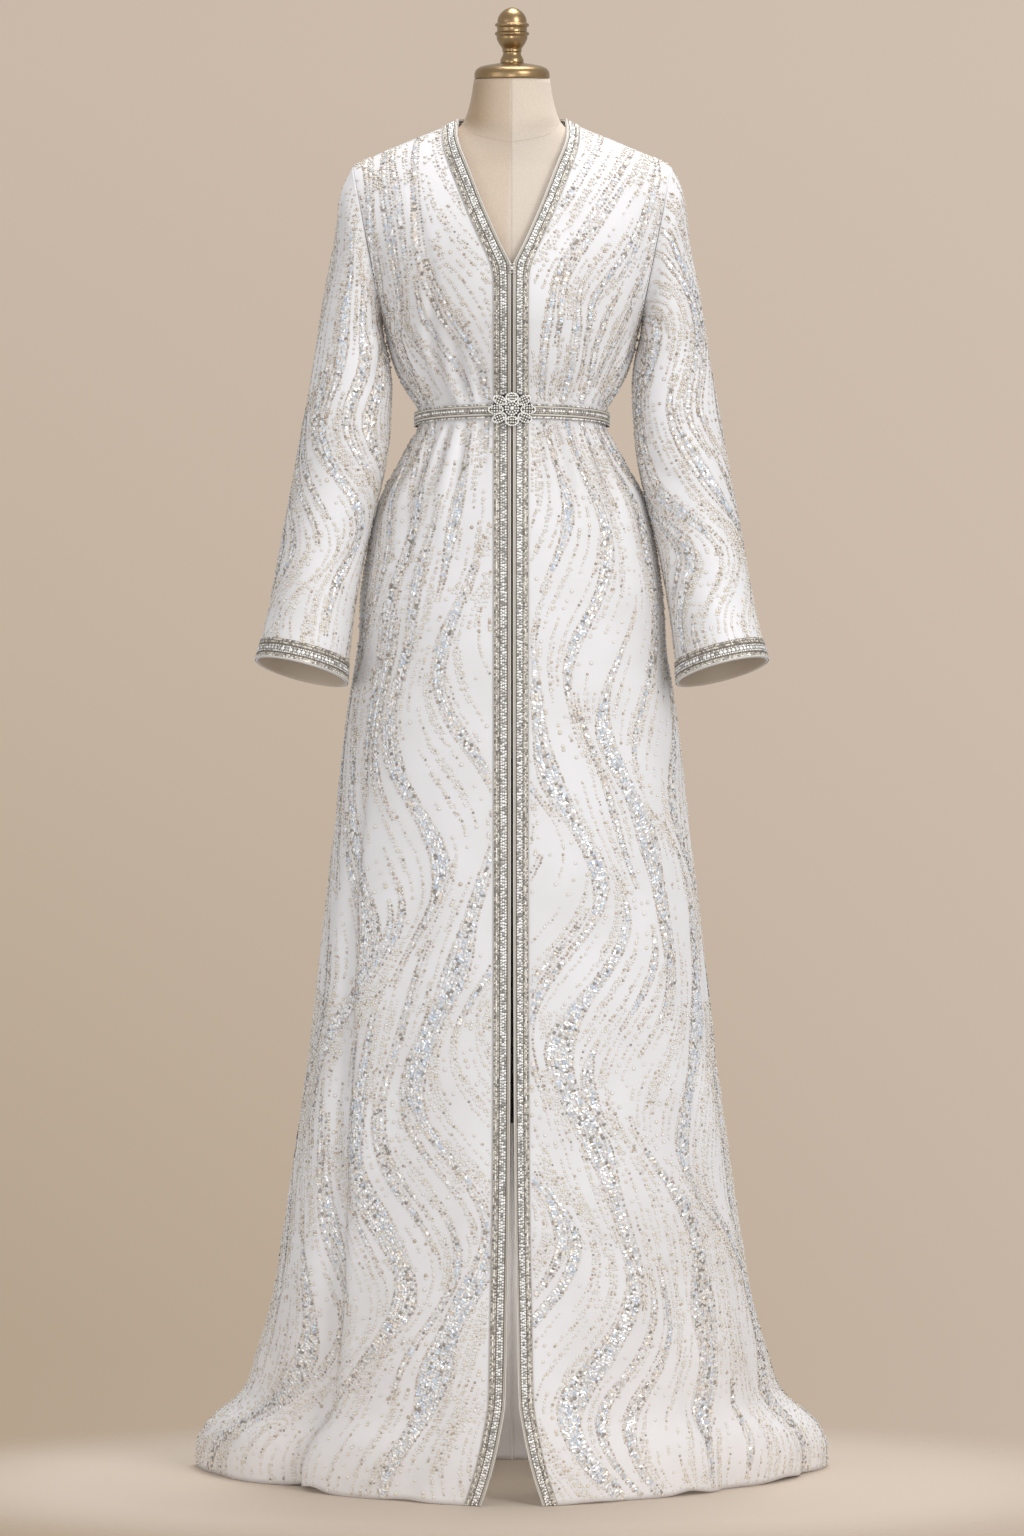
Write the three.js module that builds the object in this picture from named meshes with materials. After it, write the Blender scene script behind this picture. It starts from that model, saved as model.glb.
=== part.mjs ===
// A floor-length open-front kaftan with its braid, belt and buckle, worn on a limbless linen dress
// form that stands on four splayed legs. Millimetres, +Z up, the front faces -Y, left and right are
// as seen from the front. Every cloth piece is an open wall of its true thickness.
import * as THREE from "three";

// ---- driving dimensions ----
const CLOTH = 2; // cloth wall
const SEAM_GAP = 0.4; // between two pieces that are sewn together
const LAY_GAP = 0.3; // under a piece that lies on another
const HEM_FRONT = 155; // how far the hem reaches in front of the form's axis
const HEM_BACK = 203; // and behind it
const HEM_HALF = 371; // half the hem's width, tip to tip
const UNDERARM_Z = 1347;
const BRAID_CLEAR = 1; // the front braid ends this far above the floor
const BELT_Z = 1241; // middle of the belt at the centre front
const BELT_DROP = 12; // how much lower the belt lies at the side seams
const BELT_BACK_DROP = 4; // and how much further it drops to the centre back
const BELT_TALL = 16;
const BELT_FADE = 110; // the drop fades out this far above and below the belt
const BAND_WIDTH = { left: 19.9, right: 17.6 }; // braid down each front edge
const NECK_BAND = 18; // braid round the back of the neck
const NECK_TOP = { z: 1575, y: 56 }; // highest point of the neckline, at the centre back
const SIDES = { left: -1, right: 1 };

// Gown sections from the hem to the underarm: half width, reach to the front and to the back at the
// centre, how far the side seam is swept back, and how round the section is (2 is an ellipse).
const SECTIONS = [
  { z: 0, half: HEM_HALF, front: HEM_FRONT, back: HEM_BACK, side: 165, round: 1.6 },
  { z: 20, half: HEM_HALF, front: 154, back: 199, side: 160, round: 1.62 },
  { z: 50, half: 360, front: 152, back: 188, side: 145, round: 1.65 },
  { z: 98, half: 312, front: 147, back: 170, side: 112, round: 1.7 },
  { z: 150, half: 295, front: 143, back: 154, side: 80, round: 1.78 },
  { z: 213, half: 277, front: 140, back: 141, side: 52, round: 1.85 },
  { z: 305, half: 262, front: 137, back: 129, side: 29, round: 1.93 },
  { z: 397, half: 248, front: 134, back: 121, side: 15, round: 2 },
  { z: 489, half: 235, front: 132, back: 117, side: 7, round: 2 },
  { z: 620, half: 220, front: 129, back: 115, side: 0, round: 2 },
  { z: 765, half: 203, front: 127, back: 114, side: 0, round: 2 },
  { z: 903, half: 187, front: 124, back: 115, side: 0, round: 2 },
  { z: 972, half: 176, front: 122, back: 116, side: 0, round: 2 },
  { z: 1018, half: 174, front: 121, back: 116, side: 0, round: 2 },
  { z: 1087, half: 164, front: 115, back: 112, side: 0, round: 2 },
  { z: 1133, half: 154, front: 109, back: 103, side: 0, round: 2 },
  { z: 1156, half: 145, front: 105, back: 98, side: 0, round: 2 },
  { z: 1179, half: 133, front: 99, back: 91, side: 0, round: 2 },
  { z: 1212, half: 117, front: 88, back: 82, side: 0, round: 2 },
  { z: 1232, half: 107.7, front: 84, back: 75, side: 0, round: 2 },
  { z: 1250, half: 107.7, front: 84, back: 75, side: 0, round: 2 },
  { z: 1268, half: 120, front: 88, back: 82, side: 0, round: 2 },
  { z: 1293, half: 133, front: 98, back: 90, side: 0, round: 2 },
  { z: 1320, half: 142, front: 108, back: 95, side: 0, round: 2 },
  { z: UNDERARM_Z, half: 148, front: 117, back: 98, side: 0, round: 2 },
];

// Half the gap between the two front edges, which part towards the hem.
const FRONT_GAP = [
  { z: 0, half: 34.5 },
  { z: 40, half: 22 },
  { z: 80, half: 13 },
  { z: 120, half: 7 },
  { z: 213, half: 5.2 },
  { z: 340, half: 2.9 },
  { z: 500, half: 1.8 },
  { z: 700, half: 1.2 },
];

// Heights of the rows of the panels' grid below the underarm.
const ROW_HEIGHTS = [
  0, 20, 50, 98, 160, 250, 360, 480, 620, 765, 900, 1000, 1080, 1140, 1180, 1212, 1232, 1250, 1268,
  1293, 1322, UNDERARM_Z,
];
const FRONT_COLUMNS = 14;
const BACK_COLUMNS = 12;

// Rows above the underarm: height on the front edge and neckline, height on the centre back, and
// the share of the way up the armhole.
const UPPER_ROWS = [
  { neck: UNDERARM_Z, spine: UNDERARM_Z, arm: 0 },
  { neck: 1380, spine: 1378, arm: 0.13 },
  { neck: 1408, spine: 1408, arm: 0.25 },
  { neck: 1436, spine: 1438, arm: 0.38 },
  { neck: 1468, spine: 1468, arm: 0.52 },
  { neck: 1500, spine: 1496, arm: 0.66 },
  { neck: 1532, spine: 1520, arm: 0.79 },
  { neck: 1556, spine: 1540, arm: 0.9 },
  { neck: 1572, spine: 1556, arm: 1 },
];

// The front edge above the underarm, up the V of the neck to the side of the neck.
const NECKLINE = [
  { z: UNDERARM_Z, x: 1.2, y: -117 },
  { z: 1380, x: 1.2, y: -121 },
  { z: 1408, x: 1.2, y: -118 },
  { z: 1431, x: 13, y: -110 },
  { z: 1454, x: 23.5, y: -99 },
  { z: 1476, x: 33, y: -87 },
  { z: 1499, x: 42, y: -73 },
  { z: 1522, x: 51, y: -57 },
  { z: 1545, x: 60, y: -37 },
  { z: 1558, x: 62.5, y: -21 },
  { z: 1572, x: 61, y: 4 },
];

// The centre back above the underarm.
const SPINE = [
  { z: UNDERARM_Z, y: 98 },
  { z: 1400, y: 101 },
  { z: 1450, y: 100 },
  { z: 1500, y: 88 },
  { z: 1530, y: 74 },
  { z: 1556, y: 61 },
];

// The shoulder seam from the side of the neck to the shoulder tip.
const SHOULDER = [
  { x: 61, y: 4, z: 1572 },
  { x: 79, y: 4, z: 1563.5 },
  { x: 117, y: 3, z: 1548 },
  { x: 150, y: 1, z: 1534 },
  { x: 174, y: 0, z: 1523.5 },
  { x: 182, y: 0, z: 1518 },
];

// The armhole is a flat oval, leaning out towards the shoulder.
const ARMHOLE_DEPTH = 44; // half its width from front to back
const ARMHOLE_BOTTOM = { x: 148, z: UNDERARM_Z };
const ARMHOLE_TOP = { x: 182, z: 1518 };

// Each row of the panels dips in front of the armhole, and the dip fades out further down.
const DIP = 20;
const DIP_FADE = 95;

// Gathers under and over the belt: place from the centre (0) to the side seam (1), depth, and how
// far they run above and below the belt.
const GATHER_WIDTH = 0.07;
const GATHER_PEAK = 6.75; // brings the deepest point of a gather to its full depth
const GATHERS = {
  front_left: [
    { at: 0.143, deep: 3.5, up: 60, down: 90 },
    { at: 0.285, deep: 5.5, up: 85, down: 130 },
    { at: 0.43, deep: 8, up: 130, down: 90 },
    { at: 0.57, deep: 4.5, up: 70, down: 150 },
    { at: 0.715, deep: 6, up: 95, down: 100 },
    { at: 0.86, deep: 4, up: 60, down: 120 },
  ],
  front_right: [
    { at: 0.143, deep: 3.5, up: 50, down: 110 },
    { at: 0.285, deep: 5, up: 70, down: 140 },
    { at: 0.425, deep: 4.5, up: 95, down: 90 },
    { at: 0.57, deep: 6.5, up: 60, down: 160 },
    { at: 0.72, deep: 4.5, up: 80, down: 100 },
    { at: 0.855, deep: 5, up: 100, down: 90 },
  ],
  back_left: [
    { at: 0.085, deep: 5, up: 80, down: 150 },
    { at: 0.25, deep: 6, up: 110, down: 110 },
    { at: 0.415, deep: 4.5, up: 70, down: 140 },
    { at: 0.585, deep: 6, up: 90, down: 90 },
    { at: 0.75, deep: 5, up: 60, down: 130 },
    { at: 0.915, deep: 4, up: 80, down: 90 },
  ],
  back_right: [
    { at: 0.085, deep: 4.5, up: 60, down: 120 },
    { at: 0.25, deep: 5, up: 90, down: 150 },
    { at: 0.42, deep: 6.5, up: 80, down: 100 },
    { at: 0.585, deep: 4.5, up: 110, down: 130 },
    { at: 0.75, deep: 6, up: 70, down: 90 },
    { at: 0.91, deep: 4, up: 60, down: 110 },
  ],
};

// The long soft folds of the skirt: where they start, how wide and deep they are at the hem, and
// their place from the centre to the side seam at three heights.
const SKIRT_FOLDS = {
  front_left: [
    { top: 900, wide: 0.085, deep: 24, high: 0.66, middle: 0.575, low: 0.51 },
    { top: 420, wide: 0.09, deep: 7, high: 0.2, middle: 0.2, low: 0.22 },
    { top: 300, wide: 0.09, deep: 9, high: 0.78, middle: 0.76, low: 0.74 },
  ],
  front_right: [
    { top: 330, wide: 0.08, deep: 10, high: 0.53, middle: 0.52, low: 0.49 },
    { top: 300, wide: 0.08, deep: 11, high: 0.8, middle: 0.79, low: 0.77 },
    { top: 520, wide: 0.1, deep: 6, high: 0.26, middle: 0.25, low: 0.24 },
  ],
  back_left: [
    { top: 800, wide: 0.09, deep: 16, high: 0.3, middle: 0.32, low: 0.36 },
    { top: 620, wide: 0.1, deep: 13, high: 0.66, middle: 0.68, low: 0.7 },
  ],
  back_right: [
    { top: 700, wide: 0.1, deep: 14, high: 0.2, middle: 0.22, low: 0.25 },
    { top: 850, wide: 0.09, deep: 16, high: 0.56, middle: 0.57, low: 0.6 },
  ],
};
const FOLD_HEIGHTS = { high: 700, middle: 350, low: 0 };

// Sleeve rings from the armhole to the cuff: the outer and the inner end of each, how far forward
// its middle lies, half its width from front to back, and how far its front is lifted, because the
// sleeve hangs forward.
const SLEEVE_RINGS = [
  { outX: 182, outZ: 1518, inX: 148, inZ: UNDERARM_Z, y: 0, deep: ARMHOLE_DEPTH, lift: 0 },
  { outX: 196, outZ: 1486, inX: 149.6, inZ: 1341, y: -1, deep: 46.5, lift: 0 },
  { outX: 202, outZ: 1436, inX: 148.6, inZ: 1331, y: -1, deep: 49, lift: 0 },
  { outX: 212, outZ: 1386, inX: 145.5, inZ: 1317, y: -2, deep: 51, lift: 0 },
  { outX: 220, outZ: 1338, inX: 141, inZ: 1298, y: -3, deep: 52, lift: 0 },
  { outX: 228, outZ: 1284, inX: 138, inZ: 1262, y: -6, deep: 52, lift: 0 },
  { outX: 239, outZ: 1222, inX: 141, inZ: 1204, y: -12, deep: 52, lift: 0 },
  { outX: 251, outZ: 1156, inX: 153, inZ: 1140, y: -19, deep: 52.5, lift: 1 },
  { outX: 263, outZ: 1090, inX: 169, inZ: 1074, y: -28, deep: 53.5, lift: 3 },
  { outX: 275, outZ: 1024, inX: 181, inZ: 1006, y: -38, deep: 56, lift: 7 },
  { outX: 285.5, outZ: 978, inX: 187, inZ: 953, y: -46, deep: 59.5, lift: 12 },
  { outX: 292, outZ: 956, inX: 188, inZ: 930, y: -52, deep: 62, lift: 14 },
];
const SLEEVE_SEGMENTS = 18;

// Height of the braid's surface over its width, from its inner edge to its outer edge: an edge
// piping, a row of beads in braid, and a double braid.
const BRAID = [
  { across: 0, high: 1.5 },
  { across: 0.07, high: 2 },
  { across: 0.13, high: 1.2 },
  { across: 0.38, high: 2.3 },
  { across: 0.63, high: 1.2 },
  { across: 0.81, high: 1.9 },
  { across: 1, high: 1.3 },
];
// The same for the belt, from its upper edge to its lower edge.
const BELT_BRAID = [
  { across: 0, high: 1.5 },
  { across: 0.12, high: 2.4 },
  { across: 0.26, high: 1.5 },
  { across: 0.48, high: 2.6 },
  { across: 0.68, high: 1.5 },
  { across: 0.84, high: 2.5 },
  { across: 1, high: 1.4 },
];

// Buckle: a flower of eight petals round a domed rosette, bent to the belt.
const BUCKLE = {
  z: 1244,
  halfWide: 26,
  halfTall: 19.6,
  thick: 3,
  petals: 8,
  dish: 0.7, // depth of its dished middle as a share of its thickness
  centre: 8.5, // radius of the rosette
  dome: 6, // height of the rosette
};
const HOOK = { z: 1402, halfWide: 4.5, halfTall: 6, halfDeep: 2.6 }; // loop that closes the V

// Dress form sections: half width, reach to the front and back, and roundness.
const FORM = [
  { z: 846, half: 138, front: 88, back: 82, round: 2 },
  { z: 862, half: 150, front: 99, back: 92, round: 2 },
  { z: 910, half: 157, front: 103, back: 96, round: 2 },
  { z: 970, half: 158, front: 104, back: 98, round: 2 },
  { z: 1030, half: 153, front: 102, back: 97, round: 2 },
  { z: 1090, half: 141, front: 96, back: 91, round: 2 },
  { z: 1145, half: 126, front: 88, back: 82, round: 2 },
  { z: 1195, half: 108, front: 79, back: 72, round: 2 },
  { z: 1241, half: 101, front: 76, back: 68, round: 2 },
  { z: 1268, half: 104, front: 78, back: 71, round: 2 },
  { z: 1310, half: 116, front: 92, back: 80, round: 2 },
  { z: 1352, half: 127, front: 104, back: 87, round: 2 },
  { z: 1395, half: 134, front: 108, back: 90, round: 2 },
  { z: 1432, half: 140, front: 98, back: 84, round: 2 },
  { z: 1468, half: 146, front: 82, back: 72, round: 1.85 },
  { z: 1502, half: 150, front: 64, back: 58, round: 1.6 },
  { z: 1528.5, half: 147, front: 50, back: 46, round: 1.3 },
  { z: 1544.4, half: 116, front: 46, back: 43, round: 1.15 },
  { z: 1557, half: 82, front: 44, back: 42, round: 1.15 },
  { z: 1564, half: 60, front: 44, back: 43, round: 1.4 },
  { z: 1576, half: 52.5, front: 43, back: 43, round: 2 },
  { z: 1598, half: 46.5, front: 41.5, back: 41, round: 2 },
  { z: 1618, half: 43.5, front: 41, back: 40, round: 2 },
];
const FORM_SEGMENTS = 24;

// Turned brass on top of the neck, as radius and height.
const CAP = { bottom: 1618.4, radius: 42.5, rim: 5, top: 1636.6, neck: 12 };
const FINIAL = [
  { r: 12.5, z: 1637 },
  { r: 12.5, z: 1643 },
  { r: 10.5, z: 1648 },
  { r: 10, z: 1653 },
  { r: 15.5, z: 1658 },
  { r: 18.5, z: 1665 },
  { r: 19.5, z: 1669.5 },
  { r: 17.5, z: 1672.5 },
  { r: 17, z: 1677 },
  { r: 19, z: 1680.5 },
  { r: 17, z: 1683.5 },
  { r: 15.5, z: 1690 },
  { r: 9.5, z: 1697.5 },
];
const FINIAL_TOP = 1700;
const TURNED_SEGMENTS = 20;

// Stand: a pole under the form, a hub and four legs that splay to round feet.
const POLE = { radius: 14, top: 845.7, bottom: 470.3 };
const HUB = { radius: 34, top: 470, bottom: 424 };
const LEG = { top: 447, topRadius: 12, bottomRadius: 9, start: 46.4 };
const FOOT = { radius: 22, tall: 9 };
const FEET = [
  { name: "front_left", x: -185, y: -22 },
  { name: "front_right", x: 185, y: -22 },
  { name: "back_left", x: -165, y: 128 },
  { name: "back_right", x: 165, y: 128 },
];

const vector = (x, y, z) => new THREE.Vector3(x, y, z);
const mix = (a, b, share) => a.clone().lerp(b, share);

// Value of one column of a table at a height (or another key), straight between its rows.
function at(table, column, height, key = "z") {
  const last = table.length - 1;
  if (height <= table[0][key]) return table[0][column];
  if (height >= table[last][key]) return table[last][column];
  const i = table.findIndex((row) => row[key] > height);
  const share = (height - table[i - 1][key]) / (table[i][key] - table[i - 1][key]);
  return THREE.MathUtils.lerp(table[i - 1][column], table[i][column], share);
}

const geometryOf = (points, faces) =>
  new THREE.BufferGeometry()
    .setAttribute("position", new THREE.Float32BufferAttribute(points.flatMap((p) => p.toArray()), 3))
    .setIndex(faces);

// A closed wall between an outer grid of points and the grid behind it. Columns may close on
// themselves. `turn` is 1 where columns x rows points outwards, and -1 where it points inwards.
function wallBetween(outer, inner, closed, turn) {
  const rows = outer.length;
  const columns = outer[0].length;
  const faces = [];
  const id = (layer, r, c) => layer * rows * columns + r * columns + (c % columns);
  const quad = (a, b, c, d) => {
    if (turn > 0) faces.push(a, b, c, a, c, d);
    else faces.push(a, c, b, a, d, c);
  };
  const last = closed ? columns : columns - 1;
  for (let c = 0; c < last; c++) {
    for (let r = 0; r < rows - 1; r++) {
      quad(id(0, r, c), id(0, r, c + 1), id(0, r + 1, c + 1), id(0, r + 1, c));
      quad(id(1, r, c), id(1, r + 1, c), id(1, r + 1, c + 1), id(1, r, c + 1));
    }
    quad(id(1, 0, c), id(1, 0, c + 1), id(0, 0, c + 1), id(0, 0, c));
    quad(id(0, rows - 1, c), id(0, rows - 1, c + 1), id(1, rows - 1, c + 1), id(1, rows - 1, c));
  }
  for (let r = 0; r < rows - 1 && !closed; r++) {
    quad(id(0, r, 0), id(0, r + 1, 0), id(1, r + 1, 0), id(1, r, 0));
    quad(id(1, r, last), id(1, r + 1, last), id(0, r + 1, last), id(0, r, last));
  }
  return geometryOf([...outer.flat(), ...inner.flat()], faces);
}

// Unit normals of a grid, pointing outwards.
function normalsOf(grid, closed, turn) {
  const rows = grid.length;
  const columns = grid[0].length;
  const inside = (c) => THREE.MathUtils.clamp(c, 0, columns - 1);
  const column = (r, c) => grid[r][closed ? (c + columns) % columns : inside(c)];
  return grid.map((row, r) =>
    row.map((point, c) => {
      const across = column(r, c + 1).clone().sub(column(r, c - 1));
      const up = grid[Math.min(r + 1, rows - 1)][c].clone().sub(grid[Math.max(r - 1, 0)][c]);
      return across.cross(up).multiplyScalar(turn).normalize();
    }),
  );
}

// A wall behind a grid. `shape(r, c)` may give a normal of its own for a point on a seam and the
// directions in which that point's inner end must not move, so that sewn edges never cross.
function clothWall(grid, closed, turn, shape) {
  const normals = normalsOf(grid, closed, turn);
  const inner = grid.map((row, r) =>
    row.map((point, c) => {
      const { normal = normals[r][c], barred = [] } = shape(r, c);
      const step = normal.clone().multiplyScalar(-CLOTH);
      barred.forEach((way) => step.addScaledVector(way, -Math.max(0, step.dot(way))));
      return point.clone().add(step);
    }),
  );
  return wallBetween(grid, inner, closed, turn);
}

// A solid through closed sections of equal length. Open ends are capped by `caps`, triples of
// points of one section.
function loft(sections, caps, turn, closed = false) {
  const count = sections[0].length;
  const faces = [];
  const add = (a, b, c) => faces.push(...(turn > 0 ? [a, b, c] : [a, c, b]));
  const steps = closed ? sections.length : sections.length - 1;
  for (let i = 0; i < steps; i++) {
    const here = i * count;
    const next = ((i + 1) % sections.length) * count;
    for (let j = 0; j < count; j++) {
      const k = (j + 1) % count;
      add(here + j, here + k, next + k);
      add(here + j, next + k, next + j);
    }
  }
  const end = (sections.length - 1) * count;
  if (!closed) {
    caps.forEach(([a, b, c]) => {
      add(a, c, b);
      add(end + a, end + b, end + c);
    });
  }
  return geometryOf(sections.flat(), faces);
}

const fan = (count) => Array.from({ length: count - 2 }, (_, i) => [0, i + 1, i + 2]);

// A braid strip on a ribbon of the cloth: `near` and `far` are the ribbon's two edges, each with
// its outward normals, and the strip keeps `lift` off them. `turn` is 1 where (near to far) x (along
// the strip) points outwards.
function braid(near, far, nearNormals, farNormals, profile, lift, turn, closed = false) {
  const sections = near.map((edge, i) => {
    const place = ({ across, high }) => {
      const normal = mix(nearNormals[i], farNormals[i], across).normalize();
      return mix(edge, far[i], across).addScaledVector(normal, lift + high);
    };
    return [
      place({ across: 0, high: 0 }),
      place({ across: 1, high: 0 }),
      ...profile.map(place).reverse(),
    ];
  });
  const outline = [
    new THREE.Vector2(0, 0),
    new THREE.Vector2(1, 0),
    ...profile.map(({ across, high }) => new THREE.Vector2(across, high)).reverse(),
  ];
  const caps = THREE.ShapeUtils.triangulateShape(outline, []);
  return loft(sections, caps, -turn, closed);
}

// ---- materials ----
const finish = (color, roughness, metalness) => ({ color, roughness, metalness });
const FINISH = {
  cloth: finish(0xeceaee, 0.55, 0),
  trim: finish(0xaaa294, 0.4, 0.5),
  silver: finish(0xd9d6ce, 0.3, 0.9),
  linen: finish(0xe1d3c0, 0.9, 0),
  brass: finish(0x967a4e, 0.35, 1),
  stand: finish(0x4a4540, 0.5, 0.8),
};

const kaftan = new THREE.Group();
// The origin is under the middle of the whole part.
kaftan.position.y = (HEM_FRONT - HEM_BACK) / 2;

function add(name, geometry, kind) {
  const mesh = new THREE.Mesh(geometry, new THREE.MeshStandardMaterial(FINISH[kind]));
  mesh.name = name;
  kaftan.add(mesh);
  return mesh;
}

// ---- fronts and backs ----
const ARM_CENTRE = vector(
  (ARMHOLE_BOTTOM.x + ARMHOLE_TOP.x) / 2,
  0,
  (ARMHOLE_BOTTOM.z + ARMHOLE_TOP.z) / 2,
);
const ARM_UP = vector(
  (ARMHOLE_TOP.x - ARMHOLE_BOTTOM.x) / 2,
  0,
  (ARMHOLE_TOP.z - ARMHOLE_BOTTOM.z) / 2,
);
const ARM_OUT = vector(ARM_UP.z, 0, -ARM_UP.x).normalize(); // square to the armhole's plane

// Point of the armhole: 0 under the arm, 1 at the shoulder tip, on the front or the back.
function armholePoint(share, facing) {
  const angle = Math.PI * share;
  return ARM_CENTRE.clone()
    .addScaledVector(ARM_UP, -Math.cos(angle))
    .add(vector(0, facing * ARMHOLE_DEPTH * Math.sin(angle), 0));
}

function shoulderPoint(x) {
  return vector(x, at(SHOULDER, "y", x, "x"), at(SHOULDER, "z", x, "x"));
}

// Depth of the folds and gathers at a place on a panel.
function foldDepth(panel, place, z) {
  const hat = (distance) => Math.max(0, 1 - Math.abs(distance));
  let depth = 0;
  for (const gather of GATHERS[panel]) {
    const clear = Math.abs(z - BELT_Z) - BELT_TALL / 2 - 1;
    const away = clear / (z > BELT_Z ? gather.up : gather.down);
    // nothing under the belt, deepest a third of the way along, and gone at the end
    const rise = away > 0 && away < 1 ? GATHER_PEAK * away * (1 - away) ** 2 : 0;
    depth += gather.deep * rise * hat((place - gather.at) / GATHER_WIDTH);
  }
  for (const fold of SKIRT_FOLDS[panel]) {
    const line = Object.entries(FOLD_HEIGHTS)
      .map(([name, height]) => ({ z: height, place: fold[name] }))
      .reverse();
    const growth = THREE.MathUtils.clamp((fold.top - z) / fold.top, 0, 1) ** 0.8;
    const off = (place - at(line, "place", z)) / fold.wide;
    depth += fold.deep * growth * Math.exp(-2 * off * off);
  }
  return depth;
}

// Point of the gown's skirt or lower bodice: `round` is the angle from the centre to the side seam.
function sectionPoint(panel, facing, z, angle, place) {
  const section = {};
  for (const column of ["half", "front", "back", "side", "round"]) {
    section[column] = at(SECTIONS, column, z);
  }
  const reach = facing < 0 ? section.front + section.side : section.back - section.side;
  const power = 2 / section.round;
  const x = Math.sin(angle) ** power;
  const y = Math.max(0, Math.cos(angle)) ** power;
  const out = new THREE.Vector2(x ** (section.round - 1) / section.half, y ** (section.round - 1) / reach);
  out.setLength(-foldDepth(panel, place, z));
  return vector(
    section.half * x + out.x,
    section.side + facing * (reach * y + out.y),
    z,
  );
}

function angleAt(z, x) {
  const share = x / at(SECTIONS, "half", z);
  return Math.asin(share ** (at(SECTIONS, "round", z) / 2));
}

// Steep where the rows leave the underarm, so that the panel keeps a real corner there.
const dipShape = (place) => Math.sin(Math.PI * place ** 2.2);

function lowerRow(panel, facing, z, columns, band) {
  const row = [];
  const fade = Math.max(0, 1 - (UNDERARM_Z - z) / DIP_FADE);
  const nearBelt = Math.max(0, 1 - Math.abs(z - BELT_Z) / BELT_FADE);
  for (let c = 0; c <= columns; c++) {
    const place = c / columns;
    const height = z - DIP * fade * dipShape(place);
    const edge = facing < 0 ? at(FRONT_GAP, "half", z) : SEAM_GAP / 2;
    const first = angleAt(height, edge + band);
    const steps = band ? columns - 1 : columns;
    const step = (Math.PI / 2 - first) / steps;
    let angle = first + step * (columns - steps > 0 ? c - 1 : c);
    if (c === 0) angle = angleAt(height, edge);
    const point = sectionPoint(panel, facing, height, angle, place);
    const drop = facing < 0 ? BELT_DROP * place ** 2 : BELT_DROP + BELT_BACK_DROP * (1 - place);
    point.z -= drop * nearBelt;
    row.push(point);
  }
  return row;
}

// The ribbon of a front under its braid, above the underarm: square to the neckline.
function ribbonEdge(edges, i, band) {
  const last = edges.length - 1;
  const along = edges[Math.min(i + 1, last)].clone().sub(edges[Math.max(i - 1, 0)]).normalize();
  const share = i / last;
  const slope = THREE.MathUtils.degToRad(25) * share;
  const away = vector(Math.cos(slope), 0.15 * (1 - share), -Math.sin(slope));
  if (i < last) away.addScaledVector(along, -away.dot(along));
  return edges[i].clone().addScaledVector(away.normalize(), band);
}

// Everything above the underarm is one patch between the neckline (or centre back), the armhole,
// the underarm row and the shoulder.
function upperRows(facing, underarm, columns, band) {
  const front = facing < 0;
  const edges = UPPER_ROWS.map(({ neck, spine }) =>
    front
      ? vector(at(NECKLINE, "x", neck), at(NECKLINE, "y", neck), neck)
      : vector(SEAM_GAP / 2, at(SPINE, "y", spine), spine),
  );
  edges[0] = underarm[0];
  const start = band ? 1 : 0;
  const inner = edges.map((edge, i) => (band ? ribbonEdge(edges, i, band) : edge));
  inner[0] = underarm[start];
  const outer = UPPER_ROWS.map(({ arm }) => armholePoint(arm, facing));
  const last = UPPER_ROWS.length - 1;
  const tip = ARMHOLE_TOP.x;
  const neckSteps = 5; // columns of a back that end on the neck
  const shoulder = underarm.map((_, c) => {
    if (front) {
      const share = (c - start) / (columns - start);
      return shoulderPoint(THREE.MathUtils.lerp(inner[last].x, tip, share));
    }
    if (c >= neckSteps) {
      const side = SHOULDER[0].x + NECK_BAND;
      return shoulderPoint(side + ((tip - side) * (c - neckSteps)) / (columns - neckSteps));
    }
    return backNeck(c / neckSteps, NECK_BAND);
  });
  inner[last] = shoulder[start];
  return UPPER_ROWS.slice(1).map(({ arm }, n) => {
    const i = n + 1;
    const row = shoulder.map((end, c) => {
      if (c < start) return edges[i];
      const across = (c - start) / (columns - start);
      const low = underarm[c].clone().sub(mix(inner[0], outer[0], across));
      const high = end.clone().sub(mix(inner[last], outer[last], across));
      return mix(inner[i], outer[i], across)
        .addScaledVector(low, 1 - arm)
        .addScaledVector(high, arm);
    });
    return row;
  });
}

// The back of the neckline, from the centre back (0) to the side of the neck (1), `out` away from
// its edge.
function backNeck(share, out) {
  const angle = (Math.PI / 2) * share;
  const side = shoulderPoint(SHOULDER[0].x + out);
  const spread = out / NECK_BAND;
  const top = THREE.MathUtils.lerp(NECK_TOP.z, SPINE.at(-1).z, spread);
  const reach = THREE.MathUtils.lerp(NECK_TOP.y, SPINE.at(-1).y, spread) - side.y;
  return vector(
    Math.max(side.x * Math.sin(angle), SEAM_GAP / 2),
    side.y + reach * Math.cos(angle),
    THREE.MathUtils.lerp(side.z, top, Math.cos(angle)),
  );
}

function panelGrid(panel, facing, band) {
  const columns = facing < 0 ? FRONT_COLUMNS : BACK_COLUMNS;
  const lower = ROW_HEIGHTS.map((z) => lowerRow(panel, facing, z, columns, band));
  const grid = [...lower, ...upperRows(facing, lower.at(-1), columns, band)];
  const away = vector(0, facing * (SEAM_GAP / 2), 0);
  const underarm = lower.length - 1;
  grid.forEach((row, r) => {
    if (r <= underarm) row[columns].add(away);
    if (r >= underarm) row[columns].addScaledVector(ARM_OUT, -SEAM_GAP / 2);
  });
  grid.at(-1).forEach((point, c) => {
    const onSeam = facing < 0 || point.x >= SHOULDER[0].x + NECK_BAND - 1;
    if (onSeam) point.add(away);
  });
  return grid;
}

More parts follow.
